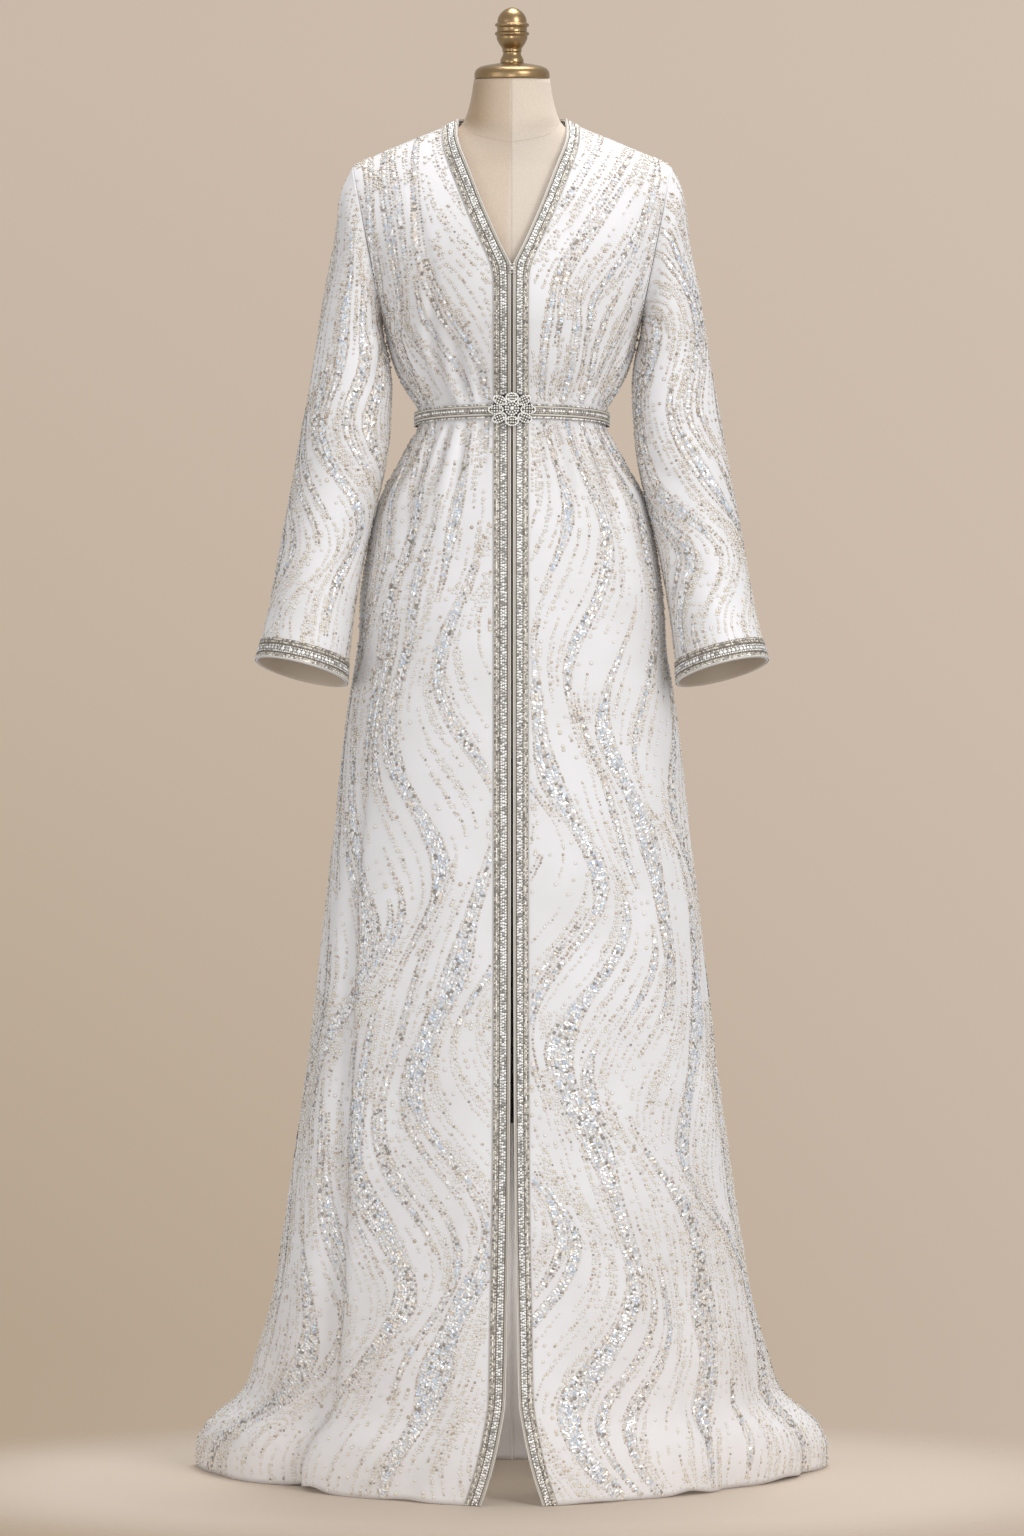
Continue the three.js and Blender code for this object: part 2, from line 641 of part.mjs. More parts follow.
// Normals and barred ways along the seams of a panel.
function panelSeams(grid, facing) {
  const columns = grid[0].length - 1;
  const underarm = ROW_HEIGHTS.length - 1;
  const seamWay = vector(0, -facing, 0);
  return (r, c) => {
    const barred = [];
    let normal;
    if (r === 0) barred.push(vector(0, 0, -1));
    if (c === columns && r <= underarm) {
      const high = grid[Math.min(r + 1, underarm)][c];
      const low = grid[Math.max(r - 1, 0)][c];
      normal = vector(high.z - low.z, 0, low.x - high.x).normalize();
      barred.push(seamWay);
    }
    if (c === columns && r >= underarm) barred.push(ARM_OUT);
    if (r === grid.length - 1 && (facing < 0 || grid[r][c].x > SHOULDER[0].x + NECK_BAND - 1)) {
      const high = grid[r][Math.max(c - 1, 0)];
      const low = grid[r][Math.min(c + 1, columns)];
      normal = vector(high.z - low.z, 0, low.x - high.x).normalize();
      barred.push(seamWay);
    }
    if (facing > 0 && c === 0) barred.push(vector(-1, 0, 0));
    return { normal, barred };
  };
}

const mirrored = (grid, side) => grid.map((row) => row.map((p) => vector(p.x * side, p.y, p.z)));

const panels = {};
for (const [sideName, side] of Object.entries(SIDES)) {
  for (const [faceName, facing] of Object.entries({ front: -1, back: 1 })) {
    const name = `${faceName}_${sideName}`;
    const band = facing < 0 ? BAND_WIDTH[sideName] : 0;
    const grid = panelGrid(name, facing, band);
    const seams = panelSeams(grid, facing);
    const flipped = (v) => v && vector(v.x * side, v.y, v.z);
    const placed = mirrored(grid, side);
    const turn = -facing * side;
    const geometry = clothWall(placed, false, turn, (r, c) => {
      const { normal, barred } = seams(r, c);
      return { normal: flipped(normal), barred: barred.map(flipped) };
    });
    panels[name] = { grid: placed, normals: normalsOf(placed, false, turn), turn };
    add(name, geometry, "cloth");
  }
}

// ---- sleeves and their cuff braid ----
function sleeveGrid(side) {
  return SLEEVE_RINGS.map((ring, i) => {
    const outer = vector(ring.outX, ring.y, ring.outZ);
    const inner = vector(ring.inX, ring.y, ring.inZ);
    const centre = mix(outer, inner, 0.5);
    const across = outer.clone().sub(centre);
    const row = [];
    for (let c = 0; c < SLEEVE_SEGMENTS; c++) {
      const angle = (2 * Math.PI * c) / SLEEVE_SEGMENTS;
      const point = centre.clone().addScaledVector(across, Math.cos(angle));
      point.y -= ring.deep * Math.sin(angle);
      point.z += ring.lift * Math.sin(angle);
      if (i === 0) point.addScaledVector(ARM_OUT, SEAM_GAP / 2);
      row.push(vector(point.x * side, point.y, point.z));
    }
    return row;
  });
}

for (const [sideName, side] of Object.entries(SIDES)) {
  const grid = sleeveGrid(side);
  const inward = vector(-ARM_OUT.x * side, 0, -ARM_OUT.z);
  const geometry = clothWall(grid, true, side, (r) => ({ barred: r === 0 ? [inward] : [] }));
  add(`sleeve_${sideName}`, geometry, "cloth");

  const normals = normalsOf(grid, true, side);
  const [upper, lower] = [grid.length - 2, grid.length - 1];
  const cuff = braid(
    grid[lower],
    grid[upper],
    normals[lower],
    normals[upper],
    BRAID,
    LAY_GAP,
    side,
    true,
  );
  add(`cuff_band_${sideName}`, cuff, "trim");
}

// ---- braid on the front edges and round the back of the neck ----
for (const [sideName, side] of Object.entries(SIDES)) {
  const { grid, normals } = panels[`front_${sideName}`];
  const [edge, outside] = [0, 1].map((c) => grid.map((row) => row[c]));
  for (const line of [edge, outside]) line[0] = mix(line[0], line[1], BRAID_CLEAR / ROW_HEIGHTS[1]);
  const [edgeNormals, outsideNormals] = [0, 1].map((c) => normals.map((row) => row[c]));
  const strip = braid(edge, outside, edgeNormals, outsideNormals, BRAID, LAY_GAP, side);
  add(`band_front_${sideName}`, strip, "trim");
}

const NECK_STEPS = 8; // from the side of the neck to the centre back
const neckPoints = Array.from({ length: 2 * NECK_STEPS + 1 }, (_, i) => {
  const share = 1 - Math.abs(i - NECK_STEPS) / NECK_STEPS;
  const side = Math.sign(i - NECK_STEPS) || 1;
  const place = (out) => {
    const point = backNeck(1 - share, out);
    return vector((share === 1 ? 0 : point.x) * side, point.y, point.z);
  };
  const upper = place(0);
  const lower = mix(place(NECK_BAND), upper, SEAM_GAP / NECK_BAND);
  if (share === 0) [upper, lower].forEach((p) => (p.y += SEAM_GAP));
  return { upper, lower };
});
const neckGrid = [neckPoints.map((p) => p.upper), neckPoints.map((p) => p.lower)];
const neckNormals = normalsOf(neckGrid, false, 1);
add(
  "band_back_neck",
  braid(neckGrid[0], neckGrid[1], neckNormals[0], neckNormals[1], BRAID, 0, -1),
  "trim",
);

// ---- belt, buckle and hook ----
const beltRow = (height) => {
  const ring = [];
  const r = ROW_HEIGHTS.indexOf(height);
  const order = [
    ["front_right", false],
    ["back_right", true],
    ["back_left", false],
    ["front_left", true],
  ];
  for (const [name, backwards] of order) {
    const points = panels[name].grid[r].map((p, c) => ({ point: p, normal: panels[name].normals[r][c] }));
    if (backwards) points.reverse();
    // the centre back and the side seams are shared by two panels
    ring.push(...(name.startsWith("front") ? points : points.slice(1)));
    if (name === "back_left") ring.pop();
  }
  return ring;
};
const BELT_LIFT = LAY_GAP + 2.3 + 0.3; // over the front braid
const BELT_ROWS = { upper: 1250, lower: 1232 }; // the panels' rows that the belt lies between
const beltRows = [BELT_ROWS.upper, BELT_ROWS.lower].map(beltRow);
const shrink = (BELT_TALL / (BELT_ROWS.upper - BELT_ROWS.lower)) * 0.5;
const beltEdges = [
  beltRows[0].map(({ point }, i) => mix(point, beltRows[1][i].point, 0.5 - shrink)),
  beltRows[0].map(({ point }, i) => mix(point, beltRows[1][i].point, 0.5 + shrink)),
];
const beltNormals = beltRows[0].map(({ normal }, i) => {
  const both = normal.clone().add(beltRows[1][i].normal);
  return vector(both.x, both.y, 0).normalize();
});
add(
  "belt",
  braid(beltEdges[0], beltEdges[1], beltNormals, beltNormals, BELT_BRAID, BELT_LIFT, 1, true),
  "trim",
);

const BELT_THICK = Math.max(...BELT_BRAID.map(({ high }) => high));
const beltFront = at(SECTIONS, "front", BELT_Z) + BELT_LIFT + BELT_THICK + 2 * LAY_GAP;
const beltHalf = at(SECTIONS, "half", BELT_Z) + BELT_LIFT + BELT_THICK;
// The belt's front bends away as an ellipse does.
const bend = (x) => beltFront * (1 - Math.sqrt(1 - (x / beltHalf) ** 2));

function flowerRing(size, depth) {
  const points = 6 * BUCKLE.petals;
  return Array.from({ length: points }, (_, i) => {
    const angle = (2 * Math.PI * i) / points;
    const petal = 0.8 + 0.2 * Math.abs(Math.cos((BUCKLE.petals * angle) / 2)) ** 0.7;
    const x = BUCKLE.halfWide * size * petal * Math.cos(angle);
    const z = BUCKLE.z + BUCKLE.halfTall * size * petal * Math.sin(angle);
    return vector(x, -beltFront - depth + bend(x), z);
  });
}
const flower = [
  flowerRing(0, 0),
  flowerRing(1, 0),
  flowerRing(1, BUCKLE.thick * 0.6),
  flowerRing(0.82, BUCKLE.thick),
  flowerRing(0.45, BUCKLE.thick * BUCKLE.dish),
  flowerRing(0, BUCKLE.thick * BUCKLE.dish),
];
add("buckle_flower", loft(flower, [], 1), "silver");

const turned = (profile, segments) => {
  const outline = [{ r: 0, z: profile[0].z }, ...profile, { r: 0, z: profile.at(-1).z }];
  const geometry = new THREE.LatheGeometry(
    outline.map(({ r, z }) => new THREE.Vector2(r, z)),
    segments,
  );
  return geometry.rotateX(Math.PI / 2);
};
const rosette = turned(
  [
    { r: BUCKLE.centre, z: 0 },
    { r: BUCKLE.centre, z: 1.8 },
    { r: BUCKLE.centre * 0.72, z: BUCKLE.dome * 0.6 },
    { r: BUCKLE.centre * 0.3, z: BUCKLE.dome },
  ],
  16,
);
rosette.rotateX(Math.PI / 2);
add("buckle_centre", rosette, "silver").position.set(
  0,
  -beltFront - BUCKLE.thick * BUCKLE.dish - LAY_GAP,
  BUCKLE.z,
);

const hook = new THREE.SphereGeometry(1, 12, 8).scale(HOOK.halfWide, HOOK.halfDeep, HOOK.halfTall);
const hookFront = -at(NECKLINE, "y", HOOK.z) + LAY_GAP + BRAID[0].high + HOOK.halfDeep;
add("neck_hook", hook, "silver").position.set(0, -hookFront, HOOK.z);

// ---- dress form ----
const formRings = FORM.map((ring) =>
  Array.from({ length: FORM_SEGMENTS }, (_, i) => {
    const angle = (2 * Math.PI * i) / FORM_SEGMENTS;
    const power = 2 / ring.round;
    const across = Math.abs(Math.cos(angle)) ** power * Math.sign(Math.cos(angle));
    const along = Math.abs(Math.sin(angle)) ** power * Math.sign(Math.sin(angle));
    return vector(ring.half * across, (along < 0 ? ring.front : ring.back) * along, ring.z);
  }),
);
add("form_torso", loft(formRings, fan(FORM_SEGMENTS), 1), "linen");

const cap = [
  { r: CAP.radius, z: CAP.bottom },
  { r: CAP.radius, z: CAP.bottom + CAP.rim },
  { r: CAP.radius * 0.86, z: CAP.bottom + CAP.rim + 5 },
  { r: CAP.radius * 0.6, z: CAP.top - 3.5 },
  { r: CAP.neck, z: CAP.top },
];
add("neck_cap", turned(cap, TURNED_SEGMENTS), "brass");
add("finial", turned([...FINIAL, { r: 3, z: FINIAL_TOP }], TURNED_SEGMENTS), "brass");

// ---- stand ----
const rod = (radius, bottom, top) => turned([{ r: radius, z: bottom }, { r: radius, z: top }], 24);
add("stand_pole", rod(POLE.radius, POLE.bottom, POLE.top), "stand");
add("stand_hub", rod(HUB.radius, HUB.bottom, HUB.top), "stand");

for (const { name, x, y } of FEET) {
  const foot = new THREE.CylinderGeometry(FOOT.radius, FOOT.radius, FOOT.tall, 16).rotateX(Math.PI / 2);
  add(`foot_${name}`, foot, "stand").position.set(x, y, FOOT.tall / 2);

  const way = vector(x, y, 0).normalize();
  const top = way.clone().multiplyScalar(LEG.start).setZ(LEG.top);
  const bottom = vector(x, y, FOOT.tall + LAY_GAP);
  const ring = (centre, radius) =>
    Array.from({ length: 10 }, (_, i) => {
      const angle = (2 * Math.PI * i) / 10;
      return centre.clone().add(vector(radius * Math.cos(angle), radius * Math.sin(angle), 0));
    });
  add(
    `leg_${name}`,
    loft([ring(bottom, LEG.bottomRadius), ring(top, LEG.topRadius)], fan(10), 1),
    "stand",
  );
}

export default kaftan;
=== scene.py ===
import bpy
import numpy as np
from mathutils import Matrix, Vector


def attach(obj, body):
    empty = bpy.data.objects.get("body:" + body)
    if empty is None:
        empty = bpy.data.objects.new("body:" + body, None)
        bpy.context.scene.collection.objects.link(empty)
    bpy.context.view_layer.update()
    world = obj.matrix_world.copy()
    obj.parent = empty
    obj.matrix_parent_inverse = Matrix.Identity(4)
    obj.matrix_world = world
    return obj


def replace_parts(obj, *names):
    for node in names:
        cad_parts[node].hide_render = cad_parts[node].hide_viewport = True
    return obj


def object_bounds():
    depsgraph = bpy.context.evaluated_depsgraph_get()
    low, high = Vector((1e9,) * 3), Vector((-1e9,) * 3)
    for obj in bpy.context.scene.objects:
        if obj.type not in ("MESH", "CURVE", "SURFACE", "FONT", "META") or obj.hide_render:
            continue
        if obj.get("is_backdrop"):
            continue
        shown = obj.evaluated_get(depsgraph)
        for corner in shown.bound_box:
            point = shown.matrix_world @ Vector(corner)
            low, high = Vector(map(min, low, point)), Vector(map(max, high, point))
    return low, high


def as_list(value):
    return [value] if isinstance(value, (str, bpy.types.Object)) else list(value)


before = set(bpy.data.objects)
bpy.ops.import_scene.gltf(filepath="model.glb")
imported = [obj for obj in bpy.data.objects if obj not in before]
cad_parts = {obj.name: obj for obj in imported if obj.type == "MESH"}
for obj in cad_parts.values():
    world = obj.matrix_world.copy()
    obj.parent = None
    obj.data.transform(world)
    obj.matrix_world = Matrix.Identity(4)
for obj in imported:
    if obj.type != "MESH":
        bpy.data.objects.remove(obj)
cad_low, cad_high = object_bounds()

# ---- Fronts and backs ----
# Four gored panels of white satin-backed crepe, open down the front and gathered under the belt.
# They are cut to flare from the waist, sewn at the shoulders, sides and centre back, and hang from
# the shoulders to the floor.
MM = 0.001
CLOTH = 1.6  # thickness
HEM_FRONT, HEM_BACK, HEM_HALF = 155, 203, 371
AXIS_Y = (HEM_FRONT - HEM_BACK) / 2
UNDERARM = 1347
BELT_Z, BELT_TALL, BELT_DROP, BELT_BACK_DROP, BELT_FADE = 1241, 16, 12, 4, 110
BAND = {"left": 19.9, "right": 17.6}
NECK_BAND = 18
SIDES = {"left": -1, "right": 1}
FACES = {"front": -1, "back": 1}
SEAM = 0.2  # half the joint between two panels
DIP, DIP_FADE, DIP_CURVE = 20, 95, 2.2  # the levels dip towards the underarm

# height, half width, reach to the front, reach to the back, sweep of the side seam, roundness
SECTIONS = np.array([
    (0, HEM_HALF, HEM_FRONT, HEM_BACK, 165, 1.6),
    (20, HEM_HALF, 154, 199, 160, 1.62),
    (50, 360, 152, 188, 145, 1.65),
    (98, 312, 147, 170, 112, 1.7),
    (150, 295, 143, 154, 80, 1.78),
    (213, 277, 140, 141, 52, 1.85),
    (305, 262, 137, 129, 29, 1.93),
    (397, 248, 134, 121, 15, 2),
    (489, 235, 132, 117, 7, 2),
    (620, 220, 129, 115, 0, 2),
    (765, 203, 127, 114, 0, 2),
    (903, 187, 124, 115, 0, 2),
    (972, 176, 122, 116, 0, 2),
    (1018, 174, 121, 116, 0, 2),
    (1087, 164, 115, 112, 0, 2),
    (1133, 154, 109, 103, 0, 2),
    (1156, 145, 105, 98, 0, 2),
    (1179, 133, 99, 91, 0, 2),
    (1212, 117, 88, 82, 0, 2),
    (1232, 107.7, 84, 75, 0, 2),
    (1250, 107.7, 84, 75, 0, 2),
    (1268, 120, 88, 82, 0, 2),
    (1293, 133, 98, 90, 0, 2),
    (1320, 142, 108, 95, 0, 2),
    (UNDERARM, 148, 117, 98, 0, 2),
])
# height, half the gap between the front edges
FRONT_GAP = np.array([
    (0, 34.5), (40, 22), (80, 13), (120, 7), (213, 5.2), (340, 2.9), (500, 1.8), (700, 1.2),
])
# share of the way up the armhole, height on the front edge, height on the centre back
UPPER = np.array([
    (0, UNDERARM, UNDERARM), (0.13, 1380, 1378), (0.25, 1408, 1408), (0.38, 1436, 1438),
    (0.52, 1468, 1468), (0.66, 1500, 1496), (0.79, 1532, 1520), (0.9, 1556, 1540), (1, 1572, 1556),
])
# height, how far the neckline lies from the centre
NECK_X = np.array([
    (1408, 1.2), (1431, 13), (1454, 23.5), (1476, 33), (1499, 42), (1522, 51), (1545, 60),
    (1558, 62.5), (1572, 61),
])
# height, how far forward the front edge lies
NECK_Y = np.array([
    (UNDERARM, -117), (1380, -121), (1408, -118), (1431, -110), (1454, -99), (1476, -87),
    (1499, -73), (1522, -57), (1545, -37), (1558, -21), (1572, 4),
])
SPINE = np.array([(UNDERARM, 98), (1400, 101), (1450, 100), (1500, 88), (1530, 74), (1556, 61)])
# distance from the centre, y and height of the shoulder seam
SHOULDER = np.array([
    (61, 4, 1572), (79, 4, 1563.5), (117, 3, 1548), (150, 1, 1534), (174, 0, 1523.5), (182, 0, 1518),
])
BACK_NECK_TOP, BACK_NECK_REACH = 1575, 52
NECK_SHARE = 5 / 12  # of the back's top edge
SHOULDER_SLOPE = 25  # degrees
ARMHOLE_DEPTH = 44
ARM_LOW, ARM_TOP = np.array([148, 0, UNDERARM]), np.array([182, 0, 1518])
ARM_CENTRE, ARM_UP = (ARM_LOW + ARM_TOP) / 2, (ARM_TOP - ARM_LOW) / 2
ARM_OUT = np.array([ARM_UP[2], 0, -ARM_UP[0]]) / np.hypot(ARM_UP[0], ARM_UP[2])

# Main gathers at the belt: place from the centre to the side, depth, run above and below the belt.
GATHERS = {
    "front_left": [(0.143, 3.5, 60, 90), (0.285, 5.5, 85, 130), (0.43, 8, 130, 90),
                   (0.57, 4.5, 70, 150), (0.715, 6, 95, 100), (0.86, 4, 60, 120)],
    "front_right": [(0.143, 3.5, 50, 110), (0.285, 5, 70, 140), (0.425, 4.5, 95, 90),
                    (0.57, 6.5, 60, 160), (0.72, 4.5, 80, 100), (0.855, 5, 100, 90)],
    "back_left": [(0.085, 5, 80, 150), (0.25, 6, 110, 110), (0.415, 4.5, 70, 140),
                  (0.585, 6, 90, 90), (0.75, 5, 60, 130), (0.915, 4, 80, 90)],
    "back_right": [(0.085, 4.5, 60, 120), (0.25, 5, 90, 150), (0.42, 6.5, 80, 100),
                   (0.585, 4.5, 110, 130), (0.75, 6, 70, 90), (0.91, 4, 60, 110)],
}
GATHER_WIDTH = 0.07
GATHER_PEAK = 6.75  # brings the deepest point of a gather's run to 1
SMALL_GATHERS, SMALL_PLACES, SMALL_DEPTHS, SMALL_RUNS, RUN_BELOW = 24, (0.05, 0.96), (0.5, 1.7), (24, 60), 1.3
# Long folds of the skirt: top, width, depth at the hem, place at three heights.
SKIRT_FOLDS = {
    "front_left": [(900, 0.085, 24, 0.66, 0.575, 0.51), (420, 0.09, 5, 0.2, 0.2, 0.22),
                   (300, 0.09, 2, 0.78, 0.76, 0.74)],
    "front_right": [(330, 0.08, 10, 0.53, 0.52, 0.49), (300, 0.08, 8, 0.8, 0.79, 0.77),
                    (520, 0.1, 6, 0.26, 0.25, 0.24)],
    "back_left": [(800, 0.09, 16, 0.3, 0.32, 0.36), (620, 0.1, 13, 0.66, 0.68, 0.7)],
    "back_right": [(700, 0.1, 14, 0.2, 0.22, 0.25), (850, 0.09, 16, 0.56, 0.57, 0.6)],
}
FOLD_HEIGHTS = (0, 350, 700)
STEEP_SIDE, SOFT_SIDE, FOLD_GROWTH = 0.5, 1.35, 0.8  # a fold drops quickly on its inner side
# Creases drawn one by one: place and height of both ends, half width and depth (below 0 is a ridge).
CREASES = {
    "front_left": [
        (0.42, 1252, 0.62, 1360, 10, 4.5), (0.3, 1250, 0.5, 1330, 7, -2),
        (0.72, 1250, 0.86, 1345, 9, 3), (0.93, 1372, 0.7, 1420, 12, 2.5),
        (0.95, 1400, 0.8, 1470, 10, 1.8), (0.2, 1256, 0.24, 1320, 7, 2),
        (0.5, 1225, 0.47, 1040, 9, 2.6), (0.32, 1222, 0.26, 1080, 8, -1.8),
        (0.8, 1222, 0.84, 1010, 10, 2.4), (0.3, 780, 0.36, 320, 26, 3), (0.86, 760, 0.9, 260, 24, 4),
    ],
    "front_right": [
        (0.36, 1252, 0.46, 1330, 8, 2.6), (0.62, 1250, 0.7, 1350, 9, 3),
        (0.82, 1250, 0.93, 1340, 8, 2.4), (0.95, 1375, 0.74, 1425, 12, 2.5),
        (0.95, 1412, 0.82, 1480, 9, 1.6), (0.2, 1222, 0.22, 1120, 7, 1.8),
        (0.46, 1222, 0.5, 1050, 9, 2.4), (0.74, 1224, 0.72, 1010, 10, 2.6),
        (0.36, 820, 0.4, 300, 28, 3), (0.68, 700, 0.66, 200, 24, 4), (0.9, 640, 0.93, 250, 22, 3),
    ],
    "back_left": [
        (0.3, 1252, 0.4, 1390, 9, 3.2), (0.62, 1250, 0.74, 1360, 9, 2.8), (0.9, 1380, 0.66, 1440, 12, 2.6),
        (0.25, 1222, 0.22, 1020, 9, 2.4), (0.6, 1222, 0.66, 1040, 10, 2.6), (0.5, 900, 0.5, 300, 28, 4),
    ],
    "back_right": [
        (0.36, 1252, 0.44, 1370, 9, 3), (0.7, 1250, 0.8, 1350, 8, 2.6), (0.92, 1375, 0.7, 1436, 12, 2.6),
        (0.34, 1222, 0.32, 1060, 9, 2.4), (0.72, 1222, 0.76, 1000, 10, 2.6), (0.8, 880, 0.84, 260, 28, 4),
    ],
}
CREASE_FADE = 18, 20  # towards the side seam and the top
CREASE_FROM, CREASE_TO = 0.12, 0.88  # share of a half wave that a crease runs through
ACROSS, BAND_STEPS, BAND_SHARE = 60, 4, 1 / 14
LOWER_LEVELS = np.concatenate([
    np.linspace(0, 40, 7)[:-1], np.linspace(40, 1090, 74)[:-1], np.linspace(1090, UNDERARM, 47),
])
UPPER_LEVELS = np.linspace(0, 1, 40)[1:]
SHOULDER_RISE = 225  # the panels' levels go on in millimetres above the underarm
ROUND_V = 14  # passes that round the outer edge of the braid at the point of the V
BAND_REACH, BAND_BACK = 6, 0.15  # rows over which the braid's way is measured, how far it leans back
HEM_LIFT, HEM_CURVE = 60, 1.5  # how far up an arch of the hem is felt
# Small arches of the hem off the floor: distance from the centre, half width, height.
HEM_ARCHES = {
    "front_left": [(232, 16, 7), (120, 24, 2)],
    "front_right": [(205, 18, 5), (96, 26, 2), (318, 20, 3.5)],
    "back_left": [(150, 20, 4), (290, 18, 5)],
    "back_right": [(120, 22, 4), (255, 18, 5), (330, 16, 3)],
}


def ease(table, x, column=1):
    """Value of a table's column at x, curved between its rows without overshoot."""
    keys, values = table[:, 0], table[:, column]
    steps = np.diff(keys)
    slopes = np.diff(values) / steps
    ends = np.concatenate([slopes[:1], np.zeros(len(keys) - 2), slopes[-1:]])
    before, after = slopes[:-1], slopes[1:]
    same = before * after > 0
    ends[1:-1][same] = 2 * before[same] * after[same] / (before[same] + after[same])
    i = np.clip(np.searchsorted(keys, x) - 1, 0, len(keys) - 2)
    t = np.clip((x - keys[i]) / steps[i], 0, 1)
    rise = values[i] + (values[i + 1] - values[i]) * t * t * (3 - 2 * t)
    return rise + steps[i] * t * (1 - t) * ((1 - t) * ends[i] - t * ends[i + 1])


def smooth(x):
    x = np.clip(x, 0, 1)
    return x * x * (3 - 2 * x)


def unit(vectors):
    return vectors / np.maximum(np.linalg.norm(vectors, axis=-1, keepdims=True), 1e-9)


def stack(*columns):
    return np.stack(np.broadcast_arrays(*columns), -1)


def circle(count):
    return 2 * np.pi * np.arange(count) / count


def run_along(line):
    """Distance of each point of a line from its first."""
    return np.concatenate([[0], np.cumsum(np.linalg.norm(np.diff(line, axis=0), axis=1))])


def angle_at(z, x):
    share = x / ease(SECTIONS, z)
    return np.arcsin(np.clip(share, 0, 1) ** (ease(SECTIONS, z, 5) / 2))


def fold_depth(panel, place, z, rng):
    """Depth of the gathers at the belt, of the small ones between them, and of the skirt's folds."""
    above = z > BELT_Z
    clear = np.abs(z - BELT_Z) - BELT_TALL / 2 - 1
    drawn = [rng.uniform(*span, SMALL_GATHERS) for span in (SMALL_PLACES, SMALL_DEPTHS, SMALL_RUNS)]
    small = [(at, deep, run, run * RUN_BELOW) for at, deep, run in zip(*drawn)]
    depth = 0
    for gathers, width in ((GATHERS[panel], GATHER_WIDTH), (small, GATHER_WIDTH / 3)):
        for at, deep, up, down in gathers:
            away = np.clip(clear / np.where(above, up, down), 0, 1)
            hat = np.cos(np.clip((place - at) / width, -1, 1) * np.pi / 2) ** 2
            depth = depth + deep * GATHER_PEAK * away * (1 - away) ** 2 * hat
    for top, wide, deep, high, middle, low in SKIRT_FOLDS[panel]:
        line = np.interp(z, FOLD_HEIGHTS, (low, middle, high))
        growth = np.clip((top - z) / top, 0, 1) ** FOLD_GROWTH
        off = (place - line) / wide
        off = np.where(off < 0, off / STEEP_SIDE, off / SOFT_SIDE)
        depth = depth + deep * growth * np.exp(-2 * off ** 2)
    return depth


def lower_rows(panel, facing, band, across, within, place, rng):
    """The panel from the hem to the underarm."""
    z = LOWER_LEVELS[:, None]
    fade = np.clip(1 - (UNDERARM - z) / DIP_FADE, 0, 1)
    height = z - DIP * fade * np.sin(np.pi * place ** DIP_CURVE)
    edge = ease(FRONT_GAP, z) if facing < 0 else SEAM
    start, first = angle_at(height, edge), angle_at(height, edge + band)
    angle = start + (first - start) * within + (np.pi / 2 - first) * across
    half, front, back, side, round_ = (ease(SECTIONS, height, c) for c in range(1, 6))
    reach = front + side if facing < 0 else back - side
    x = np.sin(angle) ** (2 / round_)
    y = np.clip(np.cos(angle), 0, 1) ** (2 / round_)
    out = unit(stack(x ** (round_ - 1) / half, y ** (round_ - 1) / reach))
    out = out * -fold_depth(panel, place, height, rng)[..., None]
    near_belt = np.clip(1 - np.abs(z - BELT_Z) / BELT_FADE, 0, 1)
    drop = BELT_DROP * place ** 2 if facing < 0 else BELT_DROP + BELT_BACK_DROP * (1 - place)
    return stack(
        half * x + out[..., 0],
        side + facing * (reach * y + out[..., 1]),
        height - drop * near_belt,
    )


def armhole(share, facing):
    angle = np.pi * share
    depth = facing * ARMHOLE_DEPTH * np.sin(angle)
    return ARM_CENTRE - ARM_UP * np.cos(angle)[..., None] + stack(0 * depth, depth, 0 * depth)


def shoulder_point(x):
    return stack(x, ease(SHOULDER, x, 1), ease(SHOULDER, x, 2))


def back_neck(share, out):
    """The back of the neckline, from the centre back to the side of the neck."""
    side = shoulder_point(SHOULDER[0, 0] + out)
    spread = out / NECK_BAND
    top = BACK_NECK_TOP + (SPINE[-1, 0] - BACK_NECK_TOP) * spread
    reach = BACK_NECK_REACH + (SPINE[-1, 1] - side[..., 1] - BACK_NECK_REACH) * spread
    angle = np.pi / 2 * share
    return stack(
        np.maximum(side[..., 0] * np.sin(angle), SEAM),
        side[..., 1] + reach * np.cos(angle),
        side[..., 2] + (top - side[..., 2]) * np.cos(angle),
    )


